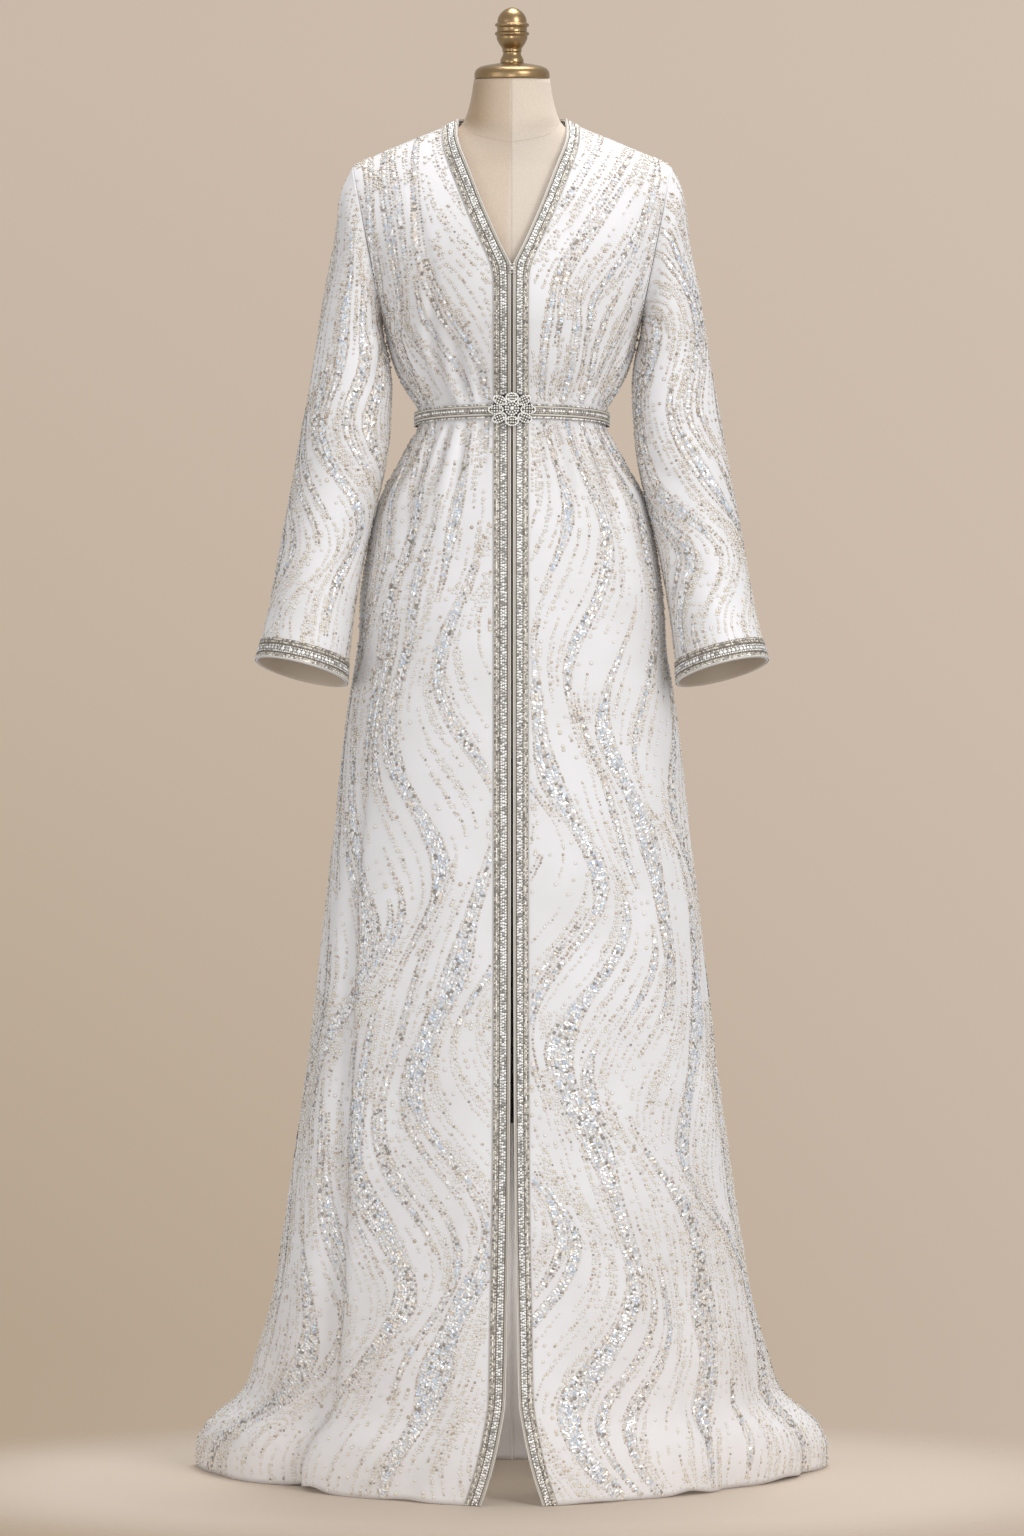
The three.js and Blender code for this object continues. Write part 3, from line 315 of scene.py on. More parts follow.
def upper_rows(facing, band, across, within, underarm):
    """Everything above the underarm, between the neckline, the armhole and the shoulder seam."""
    arm = np.concatenate([[0], UPPER_LEVELS])
    neck, spine = ease(UPPER, arm, 1), ease(UPPER, arm, 2)
    if facing < 0:
        edge = stack(ease(NECK_X, neck), ease(NECK_Y, neck), neck)
    else:
        edge = stack(SEAM, ease(SPINE, spine), spine)
    edge[0] = underarm[0]
    start = BAND_STEPS if band else 0
    inner = edge
    if band:
        index = np.arange(len(edge))
        after, before = np.minimum(index + BAND_REACH, index[-1]), np.maximum(index - BAND_REACH, 0)
        along = unit(edge[after] - edge[before])
        slope = np.radians(SHOULDER_SLOPE) * arm
        away = stack(np.cos(slope), BAND_BACK * (1 - arm), -np.sin(slope))
        overlap = (away * along).sum(-1, keepdims=True)
        away = unit(away - along * overlap * (1 - arm[:, None] ** 4))
        inner = edge + away * band
    inner[0] = underarm[start]
    for _ in range(ROUND_V if band else 0):
        inner[1:-1] = (inner[:-2] + 2 * inner[1:-1] + inner[2:]) / 4
    outer = armhole(arm, facing)
    tip = ARM_TOP[0]
    if facing < 0:
        end = shoulder_point(inner[-1, 0] + (tip - inner[-1, 0]) * across)
    else:
        side = SHOULDER[0, 0] + NECK_BAND
        on_seam = shoulder_point(side + (tip - side) * (across - NECK_SHARE) / (1 - NECK_SHARE))
        on_neck = back_neck(np.clip(across / NECK_SHARE, 0, 1), NECK_BAND)
        end = np.where((across < NECK_SHARE)[:, None], on_neck, on_seam)
    inner[-1] = end[start]
    share = across[None, :, None]

    def between(i):
        return inner[i, None] * (1 - share) + outer[i, None] * share

    low = underarm[None] - between([0])
    high = end[None] - between([-1])
    up = arm[:, None, None]
    rows = between(slice(None)) + low * (1 - up) + high * up
    rows[:, :start] = edge[:, None] + (inner - edge)[:, None] * within[None, :start, None]
    return rows[1:]


def normals_of(grid, closed, turn):
    if closed:
        wide = np.concatenate([grid[:, -1:], grid, grid[:, :1]], 1)
        sideways = wide[:, 2:] - wide[:, :-2]
    else:
        sideways = np.gradient(grid, axis=1)
    return unit(np.cross(sideways, np.gradient(grid, axis=0))) * turn


def creased(grid, across, levels, lines, turn, closed=False):
    """Presses a panel's creases in along its normals; they fade out at both ends and at the seams."""
    normals = normals_of(grid, closed, turn)
    width = np.linalg.norm(np.diff(grid, axis=1), axis=-1).sum(1)[:, None]
    depth = np.zeros(grid.shape[:2])
    level = levels[:, None]
    for a0, z0, a1, z1, wide, deep in lines:
        way = np.stack(np.broadcast_arrays((a1 - a0) * width, z1 - z0 + 0 * width))
        here = np.stack(np.broadcast_arrays((across - a0) * width, level - z0))
        long = (way ** 2).sum(0)
        t = np.clip((here * way).sum(0) / long, 0, 1)
        off = np.sqrt(((here - t * way) ** 2).sum(0)) / wide
        depth += deep * np.exp(-off ** 2) * np.sin(np.pi * (CREASE_FROM + (CREASE_TO - CREASE_FROM) * t))
    if not closed:
        depth *= smooth((1 - across) * width / CREASE_FADE[0]) * smooth((levels[-1] - level) / CREASE_FADE[1])
    return grid - normals * depth[..., None]


def grid_faces(rows, columns, closed):
    r, c = np.meshgrid(np.arange(rows - 1), np.arange(columns if closed else columns - 1), indexing="ij")
    right = (c + 1) % columns
    corners = [r * columns + c, r * columns + right, (r + 1) * columns + right, (r + 1) * columns + c]
    return np.stack(corners, -1).reshape(-1, 4)


def wall_faces(rows, columns, closed, turn):
    """Quads of an outer grid, the grid behind it and the rims between them."""
    outer = grid_faces(rows, columns, closed)
    layer = rows * columns
    faces = [outer, outer[:, ::-1] + layer]
    ring = np.arange(columns)
    end = ring[:, None] if closed else ring[:-1, None]
    after = (end + 1) % columns
    top = (rows - 1) * columns
    faces.append(np.hstack([end + layer, after + layer, after, end]))
    faces.append(np.hstack([end + top, after + top, after + top + layer, end + top + layer]))
    if not closed:
        low = np.arange(rows - 1)[:, None] * columns
        faces.append(np.hstack([low, low + columns, low + columns + layer, low + layer]))
        low = low + columns - 1
        faces.append(np.hstack([low + layer, low + columns + layer, low + columns, low]))
    faces = np.concatenate(faces)
    return faces if turn > 0 else faces[:, ::-1]


def piece(name, points, faces, finish, slot, smooth_shade=True, tones=None):
    """A mesh object from points in millimetres round the form's axis, riding on the body."""
    mesh = bpy.data.meshes.new(name)
    mesh.vertices.add(len(points))
    moved = (points + np.array([0, AXIS_Y, 0])) * MM
    mesh.vertices.foreach_set("co", moved.astype(np.float32).ravel())
    count = faces.shape[1]
    mesh.loops.add(faces.size)
    mesh.loops.foreach_set("vertex_index", faces.astype(np.int32).ravel())
    mesh.polygons.add(len(faces))
    mesh.polygons.foreach_set("loop_start", np.arange(0, faces.size, count, dtype=np.int32))
    mesh.polygons.foreach_set("use_smooth", np.full(len(faces), smooth_shade))
    if tones is not None:
        tone = mesh.color_attributes.new("tone", "FLOAT_COLOR", "POINT")
        opaque = np.hstack([tones, np.ones((len(tones), 1))])
        tone.data.foreach_set("color", opaque.astype(np.float32).ravel())
    mesh.update(calc_edges=True)
    mesh.materials.append(finish.made)
    made = bpy.data.objects.new(name, mesh)
    bpy.context.scene.collection.objects.link(made)
    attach(made, "root")
    return made


def cloth_wall(name, grid, normals, closed, turn):
    """The shell of a panel or sleeve, and the faces of its inner side."""
    points = np.concatenate([grid.reshape(-1, 3), (grid - normals * CLOTH).reshape(-1, 3)])
    walls = wall_faces(*grid.shape[:2], closed, turn)
    made = piece(f"{name}_cloth", points, walls, crepe, "cloth")
    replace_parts(made, name)
    return made, (walls >= grid.size // 3).all(1)


def joined(parts):
    """Points and faces of several parts as one set."""
    firsts = np.cumsum([0] + [len(points) for points, _ in parts[:-1]])
    points = np.concatenate([points for points, _ in parts])
    return points, np.concatenate([faces + first for (_, faces), first in zip(parts, firsts)])


def add_node(nodes, kind, **values):
    """A new shader node with its settings and sockets set."""
    node = nodes.new("ShaderNode" + kind)
    for key, value in values.items():
        if hasattr(node, key):
            setattr(node, key, value)
        else:
            node.inputs[key.replace("_", " ")].default_value = value
    return node


class Finish:
    """A principled material; its noises are fixed to the piece."""

    def __init__(self, name, toned=False, **sockets):
        self.made = bpy.data.materials.new(name)
        self.made.use_nodes = True
        self.nodes, self.links = self.made.node_tree.nodes, self.made.node_tree.links
        self.shader = self.nodes["Principled BSDF"]
        for socket, value in sockets.items():
            self.shader.inputs[socket.replace("_", " ")].default_value = value
        if toned:
            self.links.new(self.tone(), self.shader.inputs["Base Color"])

    def tone(self):
        """The colour that each small thing of a joined mesh carries."""
        return add_node(self.nodes, "VertexColor", layer_name="tone").outputs["Color"]

    def noise(self, scale, detail):
        """A noise that stays in place on the piece."""
        noise = add_node(self.nodes, "TexNoise", Scale=scale, Detail=detail)
        self.links.new(add_node(self.nodes, "TexCoord").outputs["Object"], noise.inputs["Vector"])
        return noise.outputs["Fac"]

    def vary(self, socket, noise, dark, light, low=0.35, high=0.65):
        """Runs a socket from one colour to another along a noise."""
        ramp = add_node(self.nodes, "ValToRGB")
        for stop, position, colour in zip(ramp.color_ramp.elements, (low, high), (dark, light)):
            stop.position, stop.color = position, (*colour, 1)
        self.links.new(noise, ramp.inputs["Fac"])
        if socket:
            self.links.new(ramp.outputs["Color"], self.shader.inputs[socket])
        return ramp.outputs["Color"]

    def bump(self, noise, strength, distance):
        """Roughens the surface by a noise."""
        bump = add_node(self.nodes, "Bump", Strength=strength, Distance=distance)
        self.links.new(noise, bump.inputs["Height"])
        self.links.new(bump.outputs["Normal"], self.shader.inputs["Normal"])


crepe = Finish("white crepe", Roughness=0.5, Sheen_Weight=0.25, Sheen_Roughness=0.4, Specular_IOR_Level=0.35)
crepe.vary("Base Color", crepe.noise(9, 3), (0.80, 0.79, 0.80), (0.87, 0.865, 0.885))
crepe.bump(crepe.noise(1500, 1), 0.12, 0.0003)

cloths = {}
for face, facing in FACES.items():
    for side_name, side in SIDES.items():
        name = f"{face}_{side_name}"
        rng = np.random.default_rng(len(cloths) + 11)
        band = BAND[side_name] if facing < 0 else 0
        start = BAND_STEPS if band else 0
        across = np.concatenate([np.zeros(start), np.linspace(0, 1, ACROSS + 1)])
        within = np.concatenate([np.arange(start) / BAND_STEPS, np.ones(ACROSS + 1)])
        place = within * BAND_SHARE + across * (1 - BAND_SHARE) if band else across
        rows = lower_rows(name, facing, band, across, within, place, rng)
        grid = np.concatenate([rows, upper_rows(facing, band, across, within, rows[-1])])
        underarm = len(rows) - 1
        grid[:underarm + 1, -1, 1] += facing * SEAM
        grid[underarm:, -1] -= ARM_OUT * SEAM
        on_seam = grid[-1, :, 0] >= (0 if band else SHOULDER[0, 0] + NECK_BAND - 1)
        grid[-1, on_seam, 1] += facing * SEAM
        grid[..., 0] *= side
        turn = -facing * side
        levels = np.concatenate([LOWER_LEVELS, UNDERARM + SHOULDER_RISE * UPPER_LEVELS])
        grid = creased(grid, across, levels, CREASES[name], turn)
        grid[..., 2] = np.maximum(grid[..., 2], 0)
        hem_share = np.clip(1 - levels / HEM_LIFT, 0, 1)[:, None] ** HEM_CURVE
        for at, wide, high in HEM_ARCHES[name]:
            grid[..., 2] += high * np.exp(-((np.abs(grid[:1, :, 0]) - at) / wide) ** 2) * hem_share
        normals = normals_of(grid, False, turn)
        panel, _ = cloth_wall(name, grid, normals, False, turn)
        cloths[name] = dict(grid=grid, normals=normals, levels=levels, start=start, steps=ACROSS,
                            closed=False, piece=panel)

# ---- Sleeves ----
# Two long set-in sleeves of the same crepe, widening a little to the cuff. Each is one piece with
# its seam under the arm, sewn round the armhole and left open at the wrist; its inner face is
# coloured a darker beige, painted shade for the inside of the sleeve.
# ring, outer end x and z, inner end x and z, middle y, half depth, lift of its front
SLEEVE_RINGS = np.array([
    (0, 182, 1518, 148, UNDERARM, 0, ARMHOLE_DEPTH, 0),
    (1, 196, 1486, 149.6, 1341, -1, 46.5, 0),
    (2, 202, 1436, 148.6, 1331, -1, 49, 0),
    (3, 212, 1386, 145.5, 1317, -2, 51, 0),
    (4, 220, 1338, 141, 1298, -3, 52, 0),
    (5, 228, 1284, 138, 1262, -6, 52, 0),
    (6, 239, 1222, 141, 1204, -12, 52, 0),
    (7, 251, 1156, 153, 1140, -19, 52.5, 1),
    (8, 263, 1090, 169, 1074, -28, 53.5, 3),
    (9, 275, 1024, 181, 1006, -38, 56, 7),
    (10, 285.5, 978, 187, 953, -46, 59.5, 12),
    (11, 292, 956, 188, 930, -52, 62, 14),
])
SLEEVE_COLUMNS, SLEEVE_ROWS = 80, 96
SLEEVE_LONG, LAST_RING, CUFF_RING = 575, 11, 10
# Soft creases of a sleeve: place round it (0 outside, 0.25 front), distance from the shoulder.
SLEEVE_CREASES = {
    "left": [(0.3, 470, 0.42, 380, 9, 2.4), (0.22, 330, 0.4, 255, 8, 2.6), (0.12, 300, 0.3, 215, 7, 1.8),
             (0.34, 190, 0.46, 90, 8, 3), (0.26, 150, 0.4, 60, 7, 2), (0.66, 320, 0.56, 240, 8, 2.4),
             (0.7, 200, 0.58, 100, 9, 2.8), (0.18, 520, 0.3, 430, 10, 1.8), (0.06, 420, 0.18, 340, 9, 1.5)],
    "right": [(0.28, 450, 0.44, 372, 9, 2.4), (0.2, 345, 0.42, 275, 8, 2.8), (0.14, 280, 0.28, 225, 7, 1.6),
              (0.36, 175, 0.46, 80, 8, 3), (0.24, 130, 0.38, 60, 7, 2), (0.68, 330, 0.56, 250, 8, 2.4),
              (0.72, 190, 0.6, 100, 9, 2.8), (0.16, 530, 0.26, 450, 10, 1.8)],
}
# painted shade: the sleeves' inner faces get a darker beige than the crepe
painted_inner_shade = Finish("sleeve lining", Roughness=0.55, Sheen_Weight=0.2)
painted_inner_shade.vary("Base Color", painted_inner_shade.noise(12, 2), (0.58, 0.48, 0.38), (0.66, 0.56, 0.45))
for side_name, side in SIDES.items():
    ring = np.linspace(0, LAST_RING, SLEEVE_ROWS)
    out_x, out_z, in_x, in_z, middle, deep, lift = (ease(SLEEVE_RINGS, ring, c) for c in range(1, 8))
    outer, inner = stack(out_x, middle, out_z), stack(in_x, middle, in_z)
    outer[0] += ARM_OUT * SEAM
    inner[0] += ARM_OUT * SEAM
    around = np.arange(SLEEVE_COLUMNS) / SLEEVE_COLUMNS
    angle = 2 * np.pi * around[None, :, None]
    grid = ((outer + inner) / 2)[:, None] + ((outer - inner) / 2)[:, None] * np.cos(angle)
    grid[..., 1] -= deep[:, None] * np.sin(angle[..., 0])
    grid[..., 2] += lift[:, None] * np.sin(angle[..., 0])
    grid[..., 0] *= side
    run = run_along((outer + inner) / 2)
    levels = run * SLEEVE_LONG / run[-1]
    grid = creased(grid, around, levels, SLEEVE_CREASES[side_name], side, True)
    normals = normals_of(grid, True, side)
    name = f"sleeve_{side_name}"
    sleeve, inside = cloth_wall(name, grid, normals, True, side)
    sleeve.data.materials.append(painted_inner_shade.made)
    sleeve.data.polygons.foreach_set("material_index", inside.astype(np.int32))
    cloths[name] = dict(grid=grid, normals=normals, levels=levels, start=0, steps=SLEEVE_COLUMNS,
                        closed=True, piece=sleeve)

# ---- Sequins and beads ----
# Sequins fill long wavy rivers, and streams of small glass beads run beside them like the grain
# of wood. They are sewn on by hand, one by one, so their tilt, size and spacing vary.
SEQUIN_PITCH, STREAM_GAP, BEAD_PITCH = 3.3, 9.2, 3.9
SLEEVE_GAP = 1.25  # streams lie wider apart on a sleeve
LANES = np.arange(-5, 6)  # lanes of sequins beside a river's middle
SEQUIN_ROW, SEQUIN_SHAKE_UP, SEQUIN_SHAKE_ASIDE = 0.92, 0.9, 0.7
BANK_OUT, BANK_SHAKE, BANK_LONG, BANK_ROW = 1.9, 0.6, 1.15, 0.8  # the beads along a river's banks
RIVER_CHANNEL, RIVER_SPACE, BANK_SPACE = 5.5, 4, 3  # bare cloth beside a river
CROWDED, PACKED = 6.2, 3.3  # gaps below which only every second or third stream goes on
# strands of a stream: distance from its middle, how strong the stream's pulse has to be
STRANDS = ((0, -0.45), (3.1, 0.5), (-3.1, 1.15))
STRAND_SHAKE_UP, STRAND_SHAKE_ASIDE = 1.6, 0.7
ALONE_SHARE = 0.2  # how many of the places where a stream pauses hold a single large bead
OWN_SHADE = 0.9, 1.06  # each small thing is a little darker or lighter than its tone
EDGE, HEM_EDGE, CUFF_EDGE = 2.2, 3, 22  # bare cloth at the seams, the hem and the cuff
BRANCHES = {"front": 40, "back": 38, "sleeve": 16}  # small rivers between the main ones
BRANCH_PLACES, BRANCH_HALF_LONG, BRANCH_HALF_WIDE = (-0.25, 1.0), (45, 140), (2.2, 5.2)
RIVER_TAIL, RIVER_PULSE, RIVER_BEAT = 1.6, 0.22, 19  # how a river's half width changes along it
NORMAL_WIDTH, NARROWEST, WIDEST = 330, 0.5, 1.15  # rivers narrow where the cloth is drawn in
SECOND_SWING, SECOND_WAVE = 0.28, 1.9  # a smaller wave on the lines' own
STREAK_ABOVE, STREAK_BELOW = 0.75, -0.45  # where a river turns blue and where warm
LINE_PLACES, FULL_WIDTH = (-0.5, 1.25), 400  # streams start outside the panel too, and swing into it
# wave length and strength of the pulses along a stream
PULSES = ((48, 1), (23, 0.8), (120, 0.6))
FAN_FROM, FAN = 1260, {"front": 0.0009, "back": 0.0006, "sleeve": 0}  # lines lean out to the shoulder
# level, how far the lines swing to each side as a share of the panel
SWING = {
    "front": np.array([(0, 0.075), (250, 0.11), (800, 0.13), (1100, 0.1), (1241, 0.06), (1330, 0.11),
                       (1572, 0.15)]),
    "back": np.array([(0, 0.075), (250, 0.1), (800, 0.12), (1100, 0.09), (1241, 0.06), (1330, 0.1),
                      (1572, 0.13)]),
    "sleeve": np.array([(0, 0.05), (200, 0.07), (400, 0.09), (575, 0.07)]),
}
# Lines of each piece: wave length, phase, how the phase drifts across, how far they lean over.
FLOW = {
    "front_left": (455, 0.6, 2.1, 0), "front_right": (430, 3.4, 2.3, 0),
    "back_left": (470, 1.9, 2.0, 0), "back_right": (440, 4.6, 2.2, 0),
    "sleeve_left": (330, 0.4, 0, 0.00055), "sleeve_right": (310, 2.6, 0, -0.0005),
}
# Middles of the rivers: place, level, half length and half width.
RIVERS = {
    "front_left": [
        (0.14, 170, 190, 12), (0.4, 330, 230, 13), (0.72, 120, 170, 11), (0.9, 400, 200, 9),
        (0.13, 560, 200, 12), (0.66, 640, 210, 12), (0.36, 830, 210, 12), (0.1, 930, 150, 9),
        (0.84, 900, 190, 10), (0.56, 1080, 130, 9), (0.25, 1130, 90, 7),
        (0.22, 1330, 80, 5), (0.5, 1400, 110, 6), (0.78, 1470, 90, 6), (0.34, 1500, 70, 5),
        (0.1, 1290, 80, 4), (0.14, 1420, 90, 4), (0.66, 1320, 80, 4.5),
    ],
    "front_right": [
        (0.2, 120, 170, 12), (0.5, 210, 200, 13), (0.8, 160, 180, 11), (0.24, 470, 220, 13),
        (0.7, 520, 220, 12), (0.48, 760, 220, 13), (0.12, 800, 180, 11), (0.88, 800, 180, 9),
        (0.3, 1050, 140, 9), (0.68, 1080, 140, 10), (0.1, 1130, 80, 6),
        (0.3, 1320, 80, 5), (0.62, 1390, 100, 6), (0.84, 1480, 80, 6), (0.45, 1500, 80, 5),
        (0.12, 1300, 90, 4), (0.18, 1420, 90, 4.5), (0.5, 1330, 70, 4),
    ],
    "back_left": [
        (0.12, 190, 190, 12), (0.42, 140, 190, 12), (0.72, 210, 210, 12), (0.26, 500, 230, 13),
        (0.6, 560, 220, 12), (0.9, 500, 180, 9), (0.14, 860, 200, 11), (0.46, 900, 200, 11),
        (0.8, 900, 200, 10), (0.3, 1120, 100, 8), (0.66, 1120, 90, 7),
        (0.24, 1330, 90, 6), (0.56, 1420, 110, 6), (0.8, 1480, 80, 6), (0.3, 1490, 60, 5),
    ],
    "back_right": [
        (0.14, 120, 170, 11), (0.4, 260, 220, 13), (0.72, 130, 180, 12), (0.86, 470, 190, 10),
        (0.16, 540, 220, 12), (0.56, 600, 220, 12), (0.34, 880, 200, 12), (0.74, 900, 200, 10),
        (0.1, 1020, 130, 9), (0.54, 1120, 100, 8), (0.85, 1120, 80, 6),
        (0.2, 1340, 90, 6), (0.5, 1380, 100, 6), (0.76, 1460, 90, 6), (0.36, 1500, 60, 5),
    ],
    "sleeve_left": [
        (0.12, 120, 110, 4.5), (0.3, 240, 130, 5.5), (0.08, 380, 130, 6), (0.28, 480, 110, 6),
        (0.5, 380, 130, 5), (0.72, 180, 130, 5), (0.9, 260, 130, 5), (0.72, 460, 130, 6),
        (0.52, 150, 90, 4.5),
    ],
    "sleeve_right": [
        (0.2, 110, 110, 4.5), (0.06, 250, 130, 5.5), (0.3, 370, 130, 6), (0.1, 490, 110, 6),
        (0.48, 260, 130, 5), (0.66, 130, 110, 4.5), (0.84, 330, 140, 5), (0.62, 440, 130, 6),
        (0.9, 110, 100, 4.5),
    ],
}
# finish of a sequin, and how often each is picked in a bright, a warm and a blue streak
SEQUIN_TONES = np.array([
    (0.97, 0.97, 0.98), (0.84, 0.83, 0.82), (0.74, 0.82, 0.94), (0.93, 0.84, 0.74), (0.42, 0.385, 0.35),
])
SEQUIN_MIXES = np.array([
    (0.56, 0.22, 0.10, 0.06, 0.06), (0.30, 0.28, 0.02, 0.28, 0.12), (0.38, 0.20, 0.32, 0.04, 0.06),
])
# finish of a bead, and how often each is picked in a stream, on a bank and alone
BEAD_TONES = np.array([
    (0.97, 0.95, 0.92), (0.90, 0.83, 0.73), (0.62, 0.52, 0.43), (0.98, 0.98, 0.99), (0.42, 0.375, 0.33),
])
BEAD_MIXES = np.array([
    (0.44, 0.29, 0.09, 0.16, 0.02), (0.21, 0.27, 0.29, 0.11, 0.12), (0.66, 0.16, 0.04, 0.14, 0.0),
])
BEAD_SIZES = np.array([(1.15, 1.85), (1.1, 1.6), (1.8, 2.5)])
BRIGHT, WARM, BLUE = STREAM, BANK, ALONE = 0, 1, 2

corner = np.pi / 3 * np.arange(6)
SEQUIN_POINTS = stack(np.cos(corner), np.sin(corner), 0.2 * np.cos(2 * corner))
SEQUIN_FACES = np.array([(0, 1, 2), (0, 2, 3), (0, 3, 5), (3, 4, 5)])
BEAD_POINTS = np.vstack([stack(np.cos(corner), np.sin(corner), 0 * corner), [[0, 0, 0.95]]])
BEAD_FACES = np.array([(i, (i + 1) % 6, 6) for i in range(6)])
# painted shade and highlight: each bead's rim is tinted darker and its tip lighter, the rims darker still on
# the bodice
SKIRT_RIM_SHADE, BODICE_RIM_SHADE, BEAD_TIP_HIGHLIGHT = np.array([0.76, 0.71, 0.64]), np.array([0.60, 0.53, 0.45]), 1.2
SKIRT_TOP, SKIRT_FADE = 950, 300
SEQUIN_LEAN, SEQUIN_SIZES, SEQUIN_OUT, BEAD_OUT = 0.1, (1.9, 2.5), 0.9, 0.3
# painted glint: the facets of each sequin are tinted lighter or darker at random
GLINT = 0.76, 1.12  # the facets of a sequin differ


def sew(shape, faces, places, ways, sides, ups, sizes):
    """Copies of a small shape, each in its own frame and size, joined into one set of points."""
    frames = np.stack([ways, sides, ups], 1)
    points = np.einsum("vk,nkd->nvd", shape, frames * sizes[..., None]) + places[:, None]
    each = faces[None] + (np.arange(len(places)) * len(shape))[:, None, None]
    return points.reshape(-1, 3), each.reshape(-1, faces.shape[1])


def on_cloth(cloth, across, level):
    """Points and normals of the cloth at places across it and levels up it."""
    grid, normals = cloth["grid"], cloth["normals"]
    column = cloth["start"] + across * cloth["steps"]
    row = np.interp(level, cloth["levels"], np.arange(len(grid)))
    r0 = np.clip(row.astype(int), 0, len(grid) - 2)
    c0 = np.floor(column).astype(int)
    fr, fc = (row - r0)[:, None], (column - c0)[:, None]
    count = grid.shape[1]
    if cloth["closed"]:
        c0, c1 = c0 % count, (c0 + 1) % count
    else:
        c0 = np.clip(c0, 0, count - 2)
        c1 = c0 + 1

    def mixed(field):
        low = field[r0, c0] * (1 - fc) + field[r0, c1] * fc
        high = field[r0 + 1, c0] * (1 - fc) + field[r0 + 1, c1] * fc
        return low * (1 - fr) + high * fr

    return mixed(grid), unit(mixed(normals))


def lie(name, a, level):
    """Where the line that starts at place a lies at a level: the lines swing like wood grain."""
    length, phase, drift, lean = FLOW[name]
    kind = name.split("_")[0]
    turn = 2 * np.pi * level / length + phase + drift * a
    swing = ease(SWING[kind], level)
    fan = FAN[kind] * np.maximum(level - FAN_FROM, 0)
    wave = np.sin(turn) + SECOND_SWING * np.sin(SECOND_WAVE * turn + 5 * a)
    return a + swing * wave + lean * level + fan


def river_half(river, level, width):
    """Half width of a river in millimetres: a lens with long tails that narrows with the cloth."""
    _, middle, half_long, half_wide = river
    u = np.clip(np.abs(level - middle) / half_long, 0, 1)
    narrow = 1 if width is None else np.clip(width / NORMAL_WIDTH, NARROWEST, WIDEST)
    pulse = 1 + RIVER_PULSE * np.sin(level / RIVER_BEAT + middle)
    return half_wide * (1 - u ** RIVER_TAIL) * narrow * pulse


